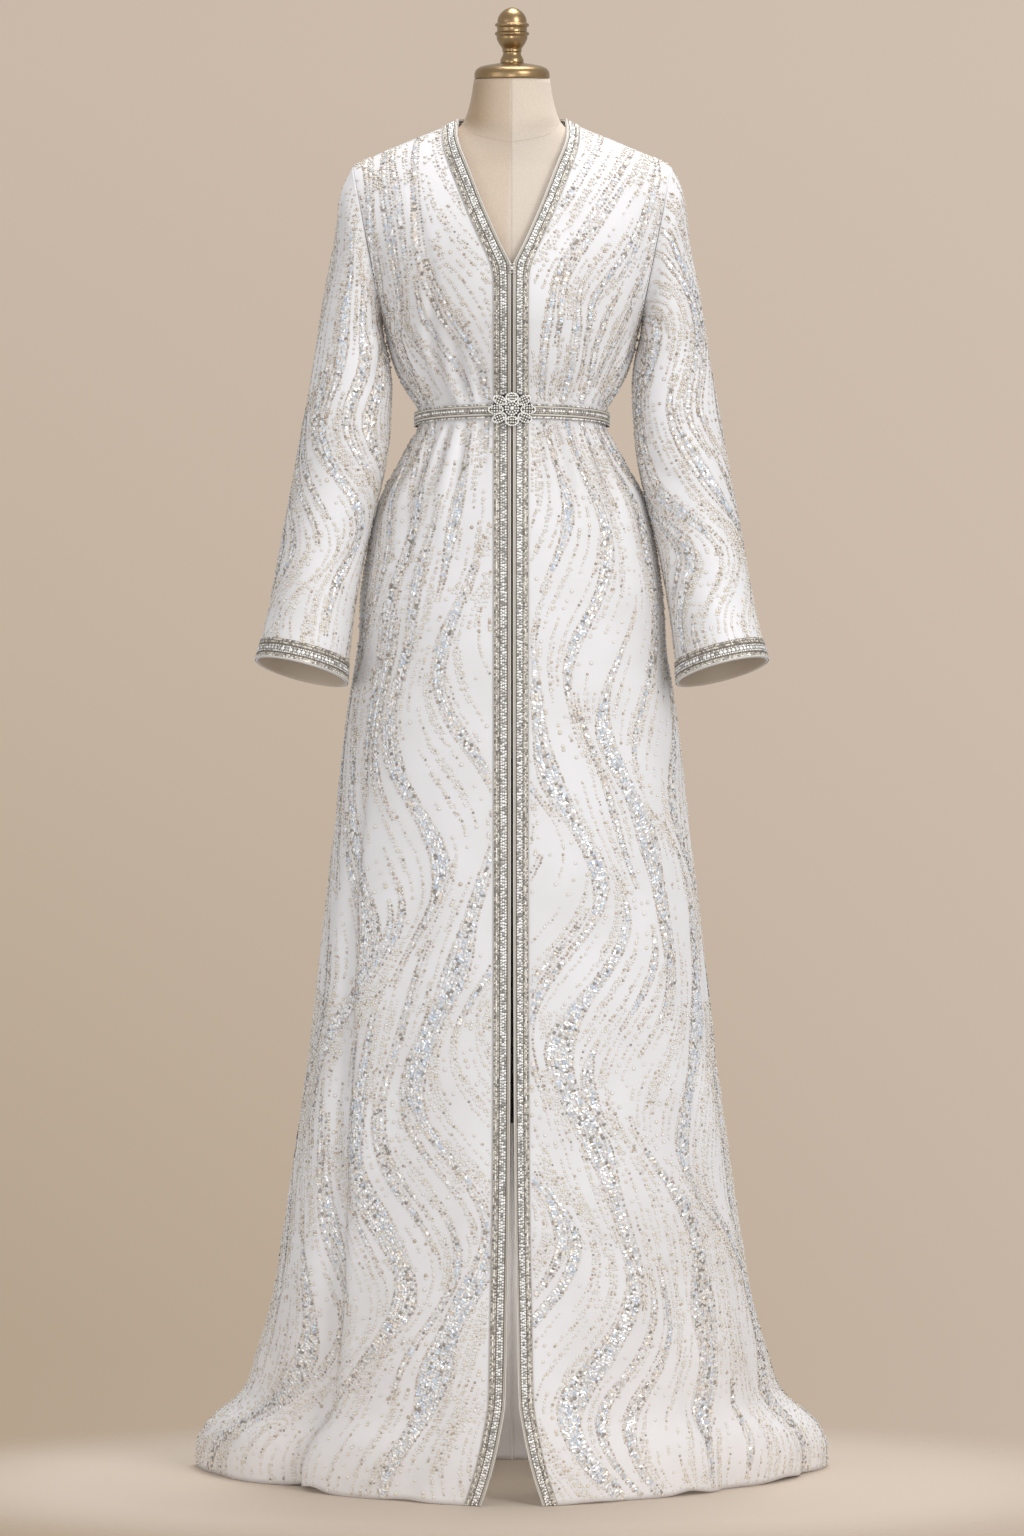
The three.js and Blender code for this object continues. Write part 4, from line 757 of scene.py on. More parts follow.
def sewn_places(name, cloth, rng):
    """Across, level and group of every sequin, and of every bead."""
    closed, top = cloth["closed"], cloth["levels"][-1]
    span = np.linalg.norm(np.diff(cloth["grid"], axis=1), axis=-1)
    if closed:
        seam = np.linalg.norm(cloth["grid"][:, :1] - cloth["grid"][:, -1:], axis=-1)
        span = np.concatenate([span, seam], 1)
    widths = span[:, cloth["start"]:].sum(1)

    def width_at(level):
        return np.interp(level, cloth["levels"], widths)

    def half_at(river, level):
        return river_half(river, level, None if closed else width_at(level))

    def from_rivers(across, level, rivers):
        """Distance from the nearest river's bank: below 0 is in the river."""
        nearest = np.full(across.shape, 1e3)
        for river in rivers:
            off = np.abs(across - lie(name, river[0], level))
            if closed:
                off = np.abs((off + 0.5) % 1 - 0.5)
            half = np.where(np.abs(level - river[1]) < river[2], half_at(river, level), -1e3)
            nearest = np.minimum(nearest, off * width_at(level) - half)
        return nearest

    rivers = list(RIVERS[name])
    for _ in range(BRANCHES[name.split("_")[0]]):
        spans = BRANCH_PLACES, (30, top - 10), BRANCH_HALF_LONG, BRANCH_HALF_WIDE
        rivers.append(tuple(rng.uniform(*span) for span in spans))

    sequins, beads = [], []
    for index, river in enumerate(rivers):
        a, middle, half_long, _ = river
        rows = np.arange(middle - half_long, middle + half_long, SEQUIN_PITCH * SEQUIN_ROW)
        level = rows[:, None] + rng.uniform(-1, 1, (len(rows), len(LANES))) * SEQUIN_SHAKE_UP
        level += (LANES % 2) * SEQUIN_PITCH / 2
        off = LANES[None] * SEQUIN_PITCH + rng.uniform(-1, 1, level.shape) * SEQUIN_SHAKE_ASIDE
        across = lie(name, a, level) + off / width_at(level)
        laid = np.abs(off) < half_at(river, level)
        laid &= from_rivers(across, level, rivers[:index]) > RIVER_SPACE
        streak = np.sin(2.3 * LANES[None] + level / 37 + index) + 0.7 * np.sin(level / 83 + 2 * index)
        group = np.where(streak > STREAK_ABOVE, BLUE, np.where(streak < STREAK_BELOW, WARM, BRIGHT))
        sequins.append(np.stack([across[laid], level[laid], group[laid]], 1))
        for bank in (-1, 1):
            reach = half_long * BANK_LONG
            level = np.arange(middle - reach, middle + reach, BEAD_PITCH * BANK_ROW)
            level += rng.uniform(-0.8, 0.8, len(level))
            shake = rng.uniform(-BANK_SHAKE, BANK_SHAKE, len(level))
            off = bank * (np.maximum(half_at(river, level), 0) + BANK_OUT + shake)
            across = lie(name, a, level) + off / width_at(level)
            laid = from_rivers(across, level, rivers[:index]) > BANK_SPACE
            beads.append(np.stack([across[laid], level[laid], np.full(laid.sum(), BANK)], 1))

    if closed:
        count = int(widths.max() / STREAM_GAP / SLEEVE_GAP)
        lines = np.arange(count) / count
    else:
        span = LINE_PLACES[1] - LINE_PLACES[0]
        lines = np.linspace(*LINE_PLACES, int(FULL_WIDTH * span / STREAM_GAP))
    level = np.arange(3, top - 2, BEAD_PITCH)[None] + rng.uniform(-0.9, 0.9, (len(lines), 1))
    level = level + rng.uniform(-0.7, 0.7, level.shape)
    phases = rng.uniform(0, 2 * np.pi, (len(lines), len(PULSES)))
    pulse = sum(strength * np.sin(level / long + phases[:, k, None])
                for k, (long, strength) in enumerate(PULSES))
    centre = lie(name, lines[:, None], level)
    gap = (lines[1] - lines[0]) * width_at(level)
    every = np.where(gap > CROWDED, 1, np.where(gap > PACKED, 2, 3))
    kept = np.arange(len(lines))[:, None] % every == 0
    clear = from_rivers(centre, level, rivers)
    for off, least in STRANDS:
        here = level + rng.uniform(-1, 1, level.shape) * STRAND_SHAKE_UP
        across = centre + (off + rng.uniform(-1, 1, level.shape) * STRAND_SHAKE_ASIDE) / width_at(level)
        laid = kept & (pulse > least) & (clear > RIVER_CHANNEL)
        beads.append(np.stack([across[laid], here[laid], np.full(laid.sum(), STREAM)], 1))
    laid = kept & (pulse < STRANDS[0][1]) & (clear > RIVER_CHANNEL * 0.6)
    laid &= rng.random(level.shape) < ALONE_SHARE
    beads.append(np.stack([centre[laid], level[laid], np.full(laid.sum(), ALONE)], 1))

    found = []
    for laid in (np.concatenate(sequins), np.concatenate(beads)):
        across, level = laid[:, 0], laid[:, 1]
        if closed:
            fits = (level > HEM_EDGE + 1) & (level < top - CUFF_EDGE)
        else:
            edge = EDGE / width_at(level)
            fits = (across > edge) & (across < 1 - edge) & (level > HEM_EDGE) & (level < top - HEM_EDGE)
            fits &= np.abs(level - BELT_Z) > BELT_TALL / 2 + 3
        found.append(laid[fits])
    return found


def picked(rng, tones, mixes, groups):
    """A tone for each small thing, from the mix of its group, with a little of its own."""
    roll = rng.random(len(groups))
    limits = np.cumsum(mixes, 1)[groups]
    chosen = np.minimum((roll[:, None] > limits).sum(1), len(tones) - 1)
    return np.clip(tones[chosen] * rng.uniform(*OWN_SHADE, (len(groups), 1)), 0, 1)


sequin_film = Finish("sequin film", True, Metallic=0.3, Roughness=0.3)
sequin_film.vary("Roughness", sequin_film.noise(240, 1), (0.2,) * 3, (0.42,) * 3)
glass = Finish("glass bead", True, Metallic=0.0, Roughness=0.2, Coat_Weight=0.3)
glass.bump(glass.noise(900, 1), 0.15, 0.0002)

# kind of cloth: the size it was cut to, its flat area, how it is held
CUTS = {
    "front": ((0.52, 1.6), 0.44, "gathered"),
    "back": ((0.5, 1.58), 0.41, "gathered"),
    "sleeve": ((0.37, 0.58), 0.17, "hung"),
}
for number, (name, cloth) in enumerate(cloths.items()):
    rng = np.random.default_rng(100 + number)
    sequin_spots, bead_spots = sewn_places(name, cloth, rng)
    points, ups = on_cloth(cloth, sequin_spots[:, 0], sequin_spots[:, 1])
    lean = unit(ups + rng.normal(0, SEQUIN_LEAN, ups.shape))
    ways = unit(np.cross(lean, rng.normal(0, 1, ups.shape)))
    radius = rng.uniform(*SEQUIN_SIZES, (len(ups), 1))
    body, faces = sew(SEQUIN_POINTS, SEQUIN_FACES, points + ups * SEQUIN_OUT, ways, np.cross(lean, ways),
                      lean, np.repeat(radius, 3, 1))
    tones = picked(rng, SEQUIN_TONES, SEQUIN_MIXES, sequin_spots[:, 2].astype(int))
    # painted glint on each sequin's facets
    tones = tones[:, None] * rng.uniform(*GLINT, (len(ups), len(SEQUIN_POINTS), 1))
    sequins = piece(f"{name}_sequins", body, faces, sequin_film, "silver", False,
                    np.clip(tones, 0, 1).reshape(-1, 3))

    points, ups = on_cloth(cloth, bead_spots[:, 0], bead_spots[:, 1])
    groups = bead_spots[:, 2].astype(int)
    ways = unit(np.cross(ups, rng.normal(0, 1, ups.shape)))
    low, high = BEAD_SIZES[groups].T
    radius = (low + (high - low) * rng.random(len(ups)))[:, None]
    body, faces = sew(BEAD_POINTS, BEAD_FACES, points + ups * BEAD_OUT, ways, np.cross(ups, ways), ups,
                      np.repeat(radius, 3, 1))
    tones = picked(rng, BEAD_TONES, BEAD_MIXES, groups)
    # painted shade on each bead's rim, deeper on the bodice than on the skirt, and a painted highlight on its
    # tip
    up = smooth((points[:, 2:] - SKIRT_TOP) / SKIRT_FADE)
    rim_shades = (SKIRT_RIM_SHADE + (BODICE_RIM_SHADE - SKIRT_RIM_SHADE) * up)[:, None].repeat(len(corner), 1)
    depth = np.concatenate([rim_shades, np.full_like(rim_shades[:, :1], BEAD_TIP_HIGHLIGHT)], 1)
    beads = piece(f"{name}_beads", body, faces, glass, "silver", True,
                  np.clip(tones[:, None] * depth, 0, 1).reshape(-1, 3))

    rests = ["form_torso_linen"] if not cloth["closed"] else [f"front_{name.split('_')[1]}_cloth"]
    cloth["sheet"] = (*CUTS[name.split("_")[0]], rests, [sequins, beads])

# ---- Braid on the edges ----
# Silver galloon down each front edge, up the V of the neck, round the back of the neck and round
# each cuff: smooth double piping inside, a wide row of crystals, and twisted cords outside.
BRAID_BASE = 0.9
IVORY, SILVER = (0.71, 0.68, 0.625), (0.54, 0.50, 0.445)
DARK, CRYSTAL = (0.18, 0.155, 0.125), (0.97, 0.96, 0.93)
GROUND_STEP, PIPING_STEP = 4, 5
CORD_SINK, CORD_LEAN, CORD_SIZES, CORD_SHADES = 0.05, 0.12, (0.88, 1.12), (0.3, 1.65)
# section of the ground strip: place across it, height
GROUND = np.array([(0, 0.1), (0.06, BRAID_BASE), (0.5, BRAID_BASE), (0.94, BRAID_BASE), (1, 0.1)])
# row: place across from the inner edge, kind, half size along, across and up, pitch, slant, tone
GALLOON = [
    (0.045, "piping", 0.85, IVORY), (0.135, "piping", 0.8, SILVER),
    (0.215, "cord", (0.8, 0.6, 0.6), 2.1, 0, DARK),
    (0.3, "cord", (1.5, 1.3, 1.2), 3.2, 0, CRYSTAL), (0.43, "cord", (1.9, 1.6, 1.5), 4.3, 0, CRYSTAL),
    (0.55, "cord", (1.4, 1.2, 1.1), 3.0, 0, CRYSTAL),
    (0.63, "cord", (0.8, 0.6, 0.6), 2.1, 0, DARK),
    (0.71, "cord", (1.5, 0.85, 0.9), 1.9, 0.6, SILVER), (0.81, "cord", (1.5, 0.85, 0.9), 1.9, -0.6, IVORY),
    (0.91, "cord", (1.4, 0.9, 0.8), 2.2, 0.5, SILVER), (0.98, "piping", 0.45, SILVER),
]
CUFF_ROWS = [
    (0.03, "piping", 0.95, IVORY), (0.12, "cord", (1.5, 0.8, 0.8), 1.9, 0.5, IVORY),
    (0.2, "cord", (1.5, 0.8, 0.8), 1.9, -0.5, SILVER), (0.28, "cord", (0.8, 0.6, 0.6), 2.1, 0, DARK),
    (0.36, "cord", (1.1, 1.0, 0.9), 2.6, 0, CRYSTAL), (0.49, "cord", (2.2, 2.0, 1.7), 4.8, 0, CRYSTAL),
    (0.62, "cord", (1.1, 1.0, 0.9), 2.6, 0, CRYSTAL), (0.7, "cord", (0.8, 0.6, 0.6), 2.1, 0, DARK),
    (0.79, "cord", (1.8, 1.0, 1.1), 2.3, 0.6, SILVER), (0.92, "cord", (1.8, 1.0, 1.0), 2.3, -0.6, SILVER),
]

silver_thread = Finish("silver thread", True, Metallic=0.3, Roughness=0.32)
silver_thread.bump(silver_thread.noise(1300, 2), 0.4, 0.0004)
satin_piping = Finish("satin piping", True, Metallic=0.1, Roughness=0.4, Sheen_Weight=0.3)
satin_piping.bump(satin_piping.noise(900, 1), 0.2, 0.0003)
braid_ground = Finish("braid ground", Metallic=0.2, Roughness=0.55)
threads = braid_ground.noise(1100, 2)
braid_ground.vary("Base Color", threads, (0.12, 0.10, 0.08), (0.33, 0.30, 0.25))
braid_ground.bump(threads, 0.5, 0.0005)


def sewn_braid(name, replaced, near, far, near_ups, far_ups, rows, turn, closed=False, lift=0.3):
    """Braid on a ribbon between two edge lines: a ground strip with rows of cord and beads on it."""
    if closed:
        near, far, near_ups, far_ups = (np.vstack([a, a[:1]]) for a in (near, far, near_ups, far_ups))
    run = run_along((near + far) / 2)

    def at_run(field, where):
        return np.stack([np.interp(where, run, field[:, k]) for k in range(3)], 1)

    def on_row(share, where, out):
        """Points of a row, and which way is across the braid and up from it."""
        low, high = at_run(near, where), at_run(far, where)
        up = unit(at_run(near_ups, where) * (1 - share) + at_run(far_ups, where) * share)
        return low + (high - low) * share + up * (lift + BRAID_BASE - out), unit(high - low), up

    steps = np.linspace(0, run[-1], max(12, int(run[-1] / GROUND_STEP)))
    if closed:
        steps = steps[:-1]
    shares, heights = GROUND[:, 0, None, None], GROUND[:, 1, None, None]
    lows, highs = at_run(near, steps), at_run(far, steps)
    low_ups, high_ups = at_run(near_ups, steps), at_run(far_ups, steps)
    grid = lows[None] + (highs - lows)[None] * shares
    ups = unit(low_ups[None] + (high_ups - low_ups)[None] * shares)
    points = np.stack([grid + ups * (lift + heights), grid + ups * lift]).reshape(-1, 3)
    ground = piece(f"{name}_ground", points, wall_faces(*grid.shape[:2], closed, turn), braid_ground, "trim")
    cords, cord_tones, pipes, pipe_tones = [], [], [], []
    rng = np.random.default_rng(len(name))
    for share, kind, *rest in rows:
        if kind == "piping":
            radius, colour = rest
            where = np.linspace(0, run[-1], max(12, int(run[-1] / PIPING_STEP)))
            centre, sideways, up = on_row(share, where, 0)
            round_ = np.linspace(-0.5, np.pi + 0.5, 7)[:, None, None]
            body = centre + radius * (sideways * np.cos(round_) + up * np.sin(round_))
            pipes.append((body.reshape(-1, 3), grid_faces(*body.shape[:2], False)))
            pipe_tones.append(np.full((len(pipes[-1][0]), 3), colour))
            continue
        half, pitch, slant, colour = rest
        count = int(run[-1] / pitch)
        spot, sideways, up = on_row(share, (np.arange(count) + 0.5) * run[-1] / count, CORD_SINK)
        along = unit(np.cross(up, sideways))
        sideways = np.cross(along, up)
        way = along * np.cos(slant) + sideways * np.sin(slant)
        other = np.cross(up, way)
        up = unit(up + rng.normal(0, CORD_LEAN, up.shape))
        sizes = np.array(half) * rng.uniform(*CORD_SIZES, (count, 1))
        cords.append(sew(BEAD_POINTS, BEAD_FACES, spot, way, other, up, sizes))
        tones = np.clip(np.array(colour) * rng.uniform(*CORD_SHADES, (count, 1)), 0, 1)
        cord_tones.append(np.repeat(tones, len(BEAD_POINTS), 0))
    braid = piece(f"{name}_braid", *joined(cords), silver_thread, "trim", True, np.concatenate(cord_tones))
    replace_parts(braid, replaced)
    piping = piece(f"{name}_piping", *joined(pipes), satin_piping, "trim", True, np.concatenate(pipe_tones))
    return [ground, braid, piping]


for side_name, side in SIDES.items():
    cloth = cloths[f"front_{side_name}"]
    grid, normals = cloth["grid"], cloth["normals"]
    name = f"band_front_{side_name}"
    cloth["sheet"][4].extend(sewn_braid(
        name, name, grid[:, 0], grid[:, BAND_STEPS], normals[:, 0], normals[:, BAND_STEPS], GALLOON, side,
    ))

    sleeve = cloths[f"sleeve_{side_name}"]
    grid, normals = sleeve["grid"], sleeve["normals"]
    upper = round(CUFF_RING / LAST_RING * (SLEEVE_ROWS - 1))
    sleeve["sheet"][4].extend(sewn_braid(
        f"cuff_{side_name}", f"cuff_band_{side_name}", grid[-1], grid[upper], normals[-1], normals[upper],
        CUFF_ROWS, -side, True,
    ))

side_to_side = np.linspace(-1, 1, 61)
share, way = np.abs(side_to_side), np.where(side_to_side < 0, -1, 1)
upper, lower = back_neck(share, 0.0), back_neck(share, float(NECK_BAND))
for line in (upper, lower):
    line[share == 0, 0] = 0
    line[:, 0] *= way
ups = unit(np.cross(np.gradient(upper, axis=0), lower - upper)) * -1
sewn_braid("back_neck", "band_back_neck", upper, lower, ups, ups, GALLOON, -1, lift=0.2)

# ---- Belt ----
# A narrow three-row braid belt: piping above and below a row of beads, pulled snug over the
# gathers and closed by the buckle.
BELT_LIFT = 2.9
BELT_ROWS = [
    (0.06, "cord", (1.5, 0.8, 0.8), 1.9, 0.5, IVORY), (0.2, "piping", 0.85, IVORY),
    (0.32, "cord", (0.9, 0.7, 0.7), 2.1, 0, SILVER), (0.46, "cord", (1.7, 1.5, 1.4), 3.4, 0, CRYSTAL),
    (0.61, "cord", (0.9, 0.7, 0.7), 2.1, 0, SILVER), (0.76, "piping", 1.0, IVORY),
    (0.95, "cord", (1.5, 0.9, 0.85), 1.9, -0.5, IVORY),
]
around = np.linspace(0, 2 * np.pi, 240, endpoint=False)
half, front, back = (float(ease(SECTIONS, np.array(BELT_Z), c)) for c in (1, 2, 3))
belt_x = half * np.sin(around)
ahead = np.cos(around) > 0
belt_y = -np.where(ahead, front, back) * np.cos(around)
side_share = np.abs(np.arcsin(np.clip(np.abs(np.sin(around)), 0, 1))) / (np.pi / 2)
drop = np.where(ahead, BELT_DROP * side_share ** 2, BELT_DROP + BELT_BACK_DROP * (1 - side_share))
belt_line = stack(belt_x, belt_y, BELT_Z - drop)
belt_ups = unit(stack(np.sin(around) / half, -np.cos(around) / np.where(ahead, front, back), 0 * around))
rise = np.array([0, 0, BELT_TALL / 2])
sewn_braid("belt", "belt", belt_line + rise, belt_line - rise, belt_ups, belt_ups, BELT_ROWS, -1, True,
           BELT_LIFT)

# ---- Buckle ----
# A cast silver flower: eight oval petals, each with a beaded rim and a raised middle, round a
# domed rosette. It is bent to the belt and hooks the two ends together.
BUCKLE_Z, BUCKLE_HALF, BUCKLE_TALL = 1244, 26, 19.6
BELT_THICK = 2.6
belt_front = front + BELT_LIFT + BELT_THICK + 0.6
belt_half = half + BELT_LIFT + BELT_THICK


def on_buckle(x, z, out):
    """A point of the buckle, which bends away with the belt's front."""
    bend = belt_front * (1 - np.sqrt(np.clip(1 - (x / belt_half) ** 2, 0, 1)))
    return stack(x, -belt_front - out + bend, BUCKLE_Z + z)


def ball(rings, sides):
    """A small round bead with its own poles."""
    tilt = np.pi * np.arange(1, rings) / rings
    turn = circle(sides)
    ring = stack(np.sin(tilt)[:, None] * np.cos(turn), np.sin(tilt)[:, None] * np.sin(turn),
                 np.cos(tilt)[:, None] + 0 * turn).reshape(-1, 3)
    points = np.vstack([ring, [0, 0, 1], [0, 0, -1]])
    top, low = len(ring), len(ring) + 1
    faces = []
    for j in range(sides):
        k = (j + 1) % sides
        faces.append((j, k, top))
        end = (rings - 2) * sides
        faces.append((end + k, end + j, low))
        for i in range(rings - 2):
            a, b = i * sides, (i + 1) * sides
            faces.extend([(a + j, b + j, b + k), (a + j, b + k, a + k)])
    return points, np.array(faces)


def balls(name, centres, sizes, ups, finish, tones):
    """Small beads of metal, joined into one piece."""
    shape, faces = ball(5, 8)
    ways = unit(np.cross(ups, np.array([0.3, 0.2, 1.0])))
    body, faces = sew(shape, faces, centres, ways, np.cross(ups, ways), ups, sizes)
    return piece(name, body, faces, finish, "silver", True, np.repeat(tones, len(shape), 0))


cast_silver = Finish("cast silver", True, Metallic=0.4, Roughness=0.25)
cast_silver.bump(cast_silver.noise(260, 3), 0.2, 0.0006)
# tones of the casting: its beads and the petals' fans are polished, its hollows blackened
BRIGHT_SILVER, POLISHED = (0.98, 0.97, 0.94), (0.98, 0.96, 0.92)
HOLLOW, PLATE = (0.12, 0.105, 0.085), (0.03, 0.025, 0.02)

# right-hand petals: centre across and up, half length, half width, tilt
PETALS = [
    (0, -14.4, 8.2, 5.9, 0), (14.6, -10.8, 8.9, 5.6, -0.4), (18.4, -1.6, 9.2, 5.6, 0),
    (13.8, 9.0, 8.6, 5.4, 0.4), (0, 12.6, 7.6, 5.4, 0),
]
PETAL_SIZE, PETAL_OUT, PETAL_RAISED, PETAL_MARGIN = 0.98, 1.8, 1.6, 1.3
RIM_MARGIN, RIM_OUT, RIM_SIZE = 0.9, 2.7, 1.3
FAN_OUT, FAN_SIZE = 3.5, 1.2
petals = PETALS + [(-x, z, long, wide, -tilt) for x, z, long, wide, tilt in PETALS if x]
shape, shape_faces = ball(6, 10)
rim = circle(18)
fan = np.array([(u, v) for u in (-0.5, -0.17, 0.17, 0.5) for v in (-0.29, 0.29)])
bodies, centres, sizes, tones = [], [], [], []
for x, z, long, wide, tilt in petals:
    way, other = np.array([np.cos(tilt), 0, np.sin(tilt)]), np.array([-np.sin(tilt), 0, np.cos(tilt)])
    long, wide = long * PETAL_SIZE, wide * PETAL_SIZE
    flat = shape[:, :1] * (long - PETAL_MARGIN) * way + shape[:, 1:2] * (wide - PETAL_MARGIN) * other
    out = PETAL_OUT + shape[:, 2] * PETAL_RAISED
    bodies.append((on_buckle(x + flat[:, 0], z + flat[:, 2], out), shape_faces))
    rim_along, rim_across = (long - RIM_MARGIN) * np.cos(rim), (wide - RIM_MARGIN) * np.sin(rim)
    for along, across, out, size, tone in (
        (rim_along, rim_across, RIM_OUT, RIM_SIZE, BRIGHT_SILVER),
        (fan[:, 0] * long, fan[:, 1] * wide, FAN_OUT, FAN_SIZE, POLISHED),
    ):
        spots = np.array([x, 0, z]) + along[:, None] * way + across[:, None] * other
        centres.append(stack(spots[:, 0], spots[:, 2], out))
        sizes.append(np.full((len(along), 3), size))
        tones.append(np.full((len(along), 3), tone))
petal_bodies = piece("buckle_petals", *joined(bodies), cast_silver, "silver", True,
                     np.full((len(petals) * len(shape), 3), HOLLOW))
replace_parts(petal_bodies, "buckle_flower")


def buckle_beads(name, centres, sizes, tones):
    spots = on_buckle(centres[:, 0], centres[:, 1], centres[:, 2])
    forward = np.repeat([[0.0, -1.0, 0.0]], len(spots), 0)
    return balls(name, spots, sizes, forward, cast_silver, tones)


buckle_beads("buckle_granules", np.concatenate(centres), np.concatenate(sizes), np.concatenate(tones))

# rings of the back plate: share of the buckle's size, height
PLATE_RINGS = (0.001, 0.0), (0.86, 0.0), (0.86, 1.0), (0.8, 1.3), (0.001, 1.3)
turn = circle(96)
plate = np.stack([on_buckle(BUCKLE_HALF * size * np.cos(turn), BUCKLE_TALL * size * np.sin(turn), out)
                  for size, out in PLATE_RINGS])
piece("buckle_plate", plate.reshape(-1, 3), grid_faces(*plate.shape[:2], True), cast_silver, "silver", True,
      np.full((plate.size // 3, 3), PLATE))

# rings of the rosette: beads, radius, height, size
centres, sizes = [(0, 0, 2.4)], [(6.8, 6.8, 3.4)]
for count, radius, out, size in ((15, 7.2, 3.4, 1.45), (9, 4.5, 5.2, 1.3), (1, 0, 5.8, 2.7)):
    turn = circle(count)
    centres.extend(stack(radius * np.cos(turn), radius * np.sin(turn), out))
    sizes.extend([(size, size, size)] * count)
tones = np.full((len(centres), 3), BRIGHT_SILVER)
tones[0] = HOLLOW
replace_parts(buckle_beads("buckle_rosette", np.array(centres), np.array(sizes), tones), "buckle_centre")

# ---- Neck hook ----
# A small knotted loop of silver cord at the point of the V. It catches a bead on the other edge
# and keeps the two fronts together.
HOOK_Z = 1402
hook_out = -float(ease(NECK_Y, np.array(HOOK_Z))) + 2.9
knots = [(x, z, 0.0) for z in (-4.6, -1.6, 1.6, 4.6) for x in (-2.1, 2.1)] + [(0, 0, 1.4)]
centres = np.array([(x, -hook_out - out, HOOK_Z + z) for x, z, out in knots])
sizes = np.array([(2.1, 1.7, 1.6)] * 8 + [(2.0, 2.0, 2.0)])
tones = np.array([(0.66, 0.63, 0.58)] * 8 + [(0.9, 0.89, 0.87)])
hook = balls("neck_loop", centres, sizes, np.repeat([[0.0, -1.0, 0.0]], 9, 0), silver_thread, tones)
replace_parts(hook, "neck_hook")

# ---- Dress form ----
# A padded torso covered in natural linen, seamed down the centre and round the foot of the neck.
# The linen is cut in panels and stretched over the form before the cap is screwed on.
# height, half width, reach to the front and back, roundness
FORM = np.array([
    (846, 138, 88, 82, 2), (862, 150, 99, 92, 2), (910, 157, 103, 96, 2), (970, 158, 104, 98, 2),
    (1030, 153, 102, 97, 2), (1090, 141, 96, 91, 2), (1145, 126, 88, 82, 2), (1195, 108, 79, 72, 2),
    (1241, 101, 76, 68, 2), (1268, 104, 78, 71, 2), (1310, 116, 92, 80, 2), (1352, 127, 104, 87, 2),
    (1395, 134, 108, 90, 2), (1432, 140, 98, 84, 2), (1468, 146, 82, 72, 1.85), (1502, 150, 64, 58, 1.6),
    (1528.5, 147, 50, 46, 1.3), (1544.4, 116, 46, 43, 1.18), (1557, 82, 44.5, 42, 1.24),
    (1564, 60, 43.9, 43, 1.62), (1576, 52.5, 43, 43, 2), (1598, 46.5, 41.5, 41, 2), (1618, 43.5, 41, 40, 2),
])
FORM_LOW, FORM_TOP, SEAM_RIDGE = 846, 1618, 0.7
NECK_SEAM, NECK_SEAM_DIP = 1574, 28
NECK_SHADE_SPAN = 1548, 1574
# tones of the linen, which multiply the colours of its weave: painted shade darkens the left half and, more
# and more towards its edge, the left of the neck; painted light brightens the right of the neck
CHEST_LEFT_SHADE, CHEST_RIGHT, NECK_RIGHT_LIT = (0.85, 0.79, 0.74), (0.885, 0.87, 0.87), (0.98, 0.95, 0.92)
NECK_LEFT_SHADE = [(0.60, 0.485, 0.36), (0.79, 0.70, 0.61), (0.86, 0.78, 0.70)]


def on_form(turn, z):
    """The padded surface; the centre seams stand up as a faint ridge."""
    half, front, back, round_ = (ease(FORM, z, c) for c in (1, 2, 3, 4))
    cosine, sine = np.cos(turn), np.sin(turn)
    x = half * np.sign(cosine) * np.abs(cosine) ** (2 / round_)
    ridge = SEAM_RIDGE * np.exp(-np.abs(x) / 14)
    reach = np.where(sine < 0, front, back) + ridge
    return stack(x, reach * np.sign(sine) * np.abs(sine) ** (2 / round_), z)


z = np.concatenate([np.linspace(FORM_LOW, 1400, 40)[:-1], np.linspace(1400, FORM_TOP, 46)])[:, None]
turn = circle(96)[None]
torso = on_form(turn, z)
rows, columns = torso.shape[:2]
centre = stack(0 * z, 0 * z, z)[[0, -1]] * np.ones((1, columns, 1))
torso = np.concatenate([centre[:1], torso, centre[1:]])
linen = Finish("natural linen", Roughness=0.85, Sheen_Weight=0.2)
slubs = linen.noise(800, 3)
dyed = add_node(linen.nodes, "Mix", data_type="RGBA", blend_type="MULTIPLY", Factor=1)
weave = linen.vary(None, slubs, (0.70, 0.615, 0.52), (0.80, 0.715, 0.62), 0.3, 0.7)
linen.links.new(weave, dyed.inputs["A"])
linen.links.new(linen.tone(), dyed.inputs["B"])
linen.links.new(dyed.outputs["Result"], linen.shader.inputs["Base Color"])
linen.bump(slubs, 0.2, 0.0004)
# painted shade: the left half of the linen is tinted darker, darkest at the left edge of the neck, and
# painted light makes the right of the neck lighter
x, neck = torso[..., 0], np.interp(torso[..., 2:], NECK_SHADE_SPAN, (0, 1))
painted_neck_shade = np.stack([np.interp(x, (-40, -20, 0), shades) for shades in zip(*NECK_LEFT_SHADE)], -1)
left = np.array(CHEST_LEFT_SHADE) * (1 - neck) + painted_neck_shade * neck
right = np.array(CHEST_RIGHT) * (1 - neck) + np.array(NECK_RIGHT_LIT) * neck
tones = np.where(x[..., None] < -0.1, left, right).reshape(-1, 3)
torso_piece = piece("form_torso_linen", torso.reshape(-1, 3), grid_faces(*torso.shape[:2], True), linen,
                    "linen", True, tones)
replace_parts(torso_piece, "form_torso")

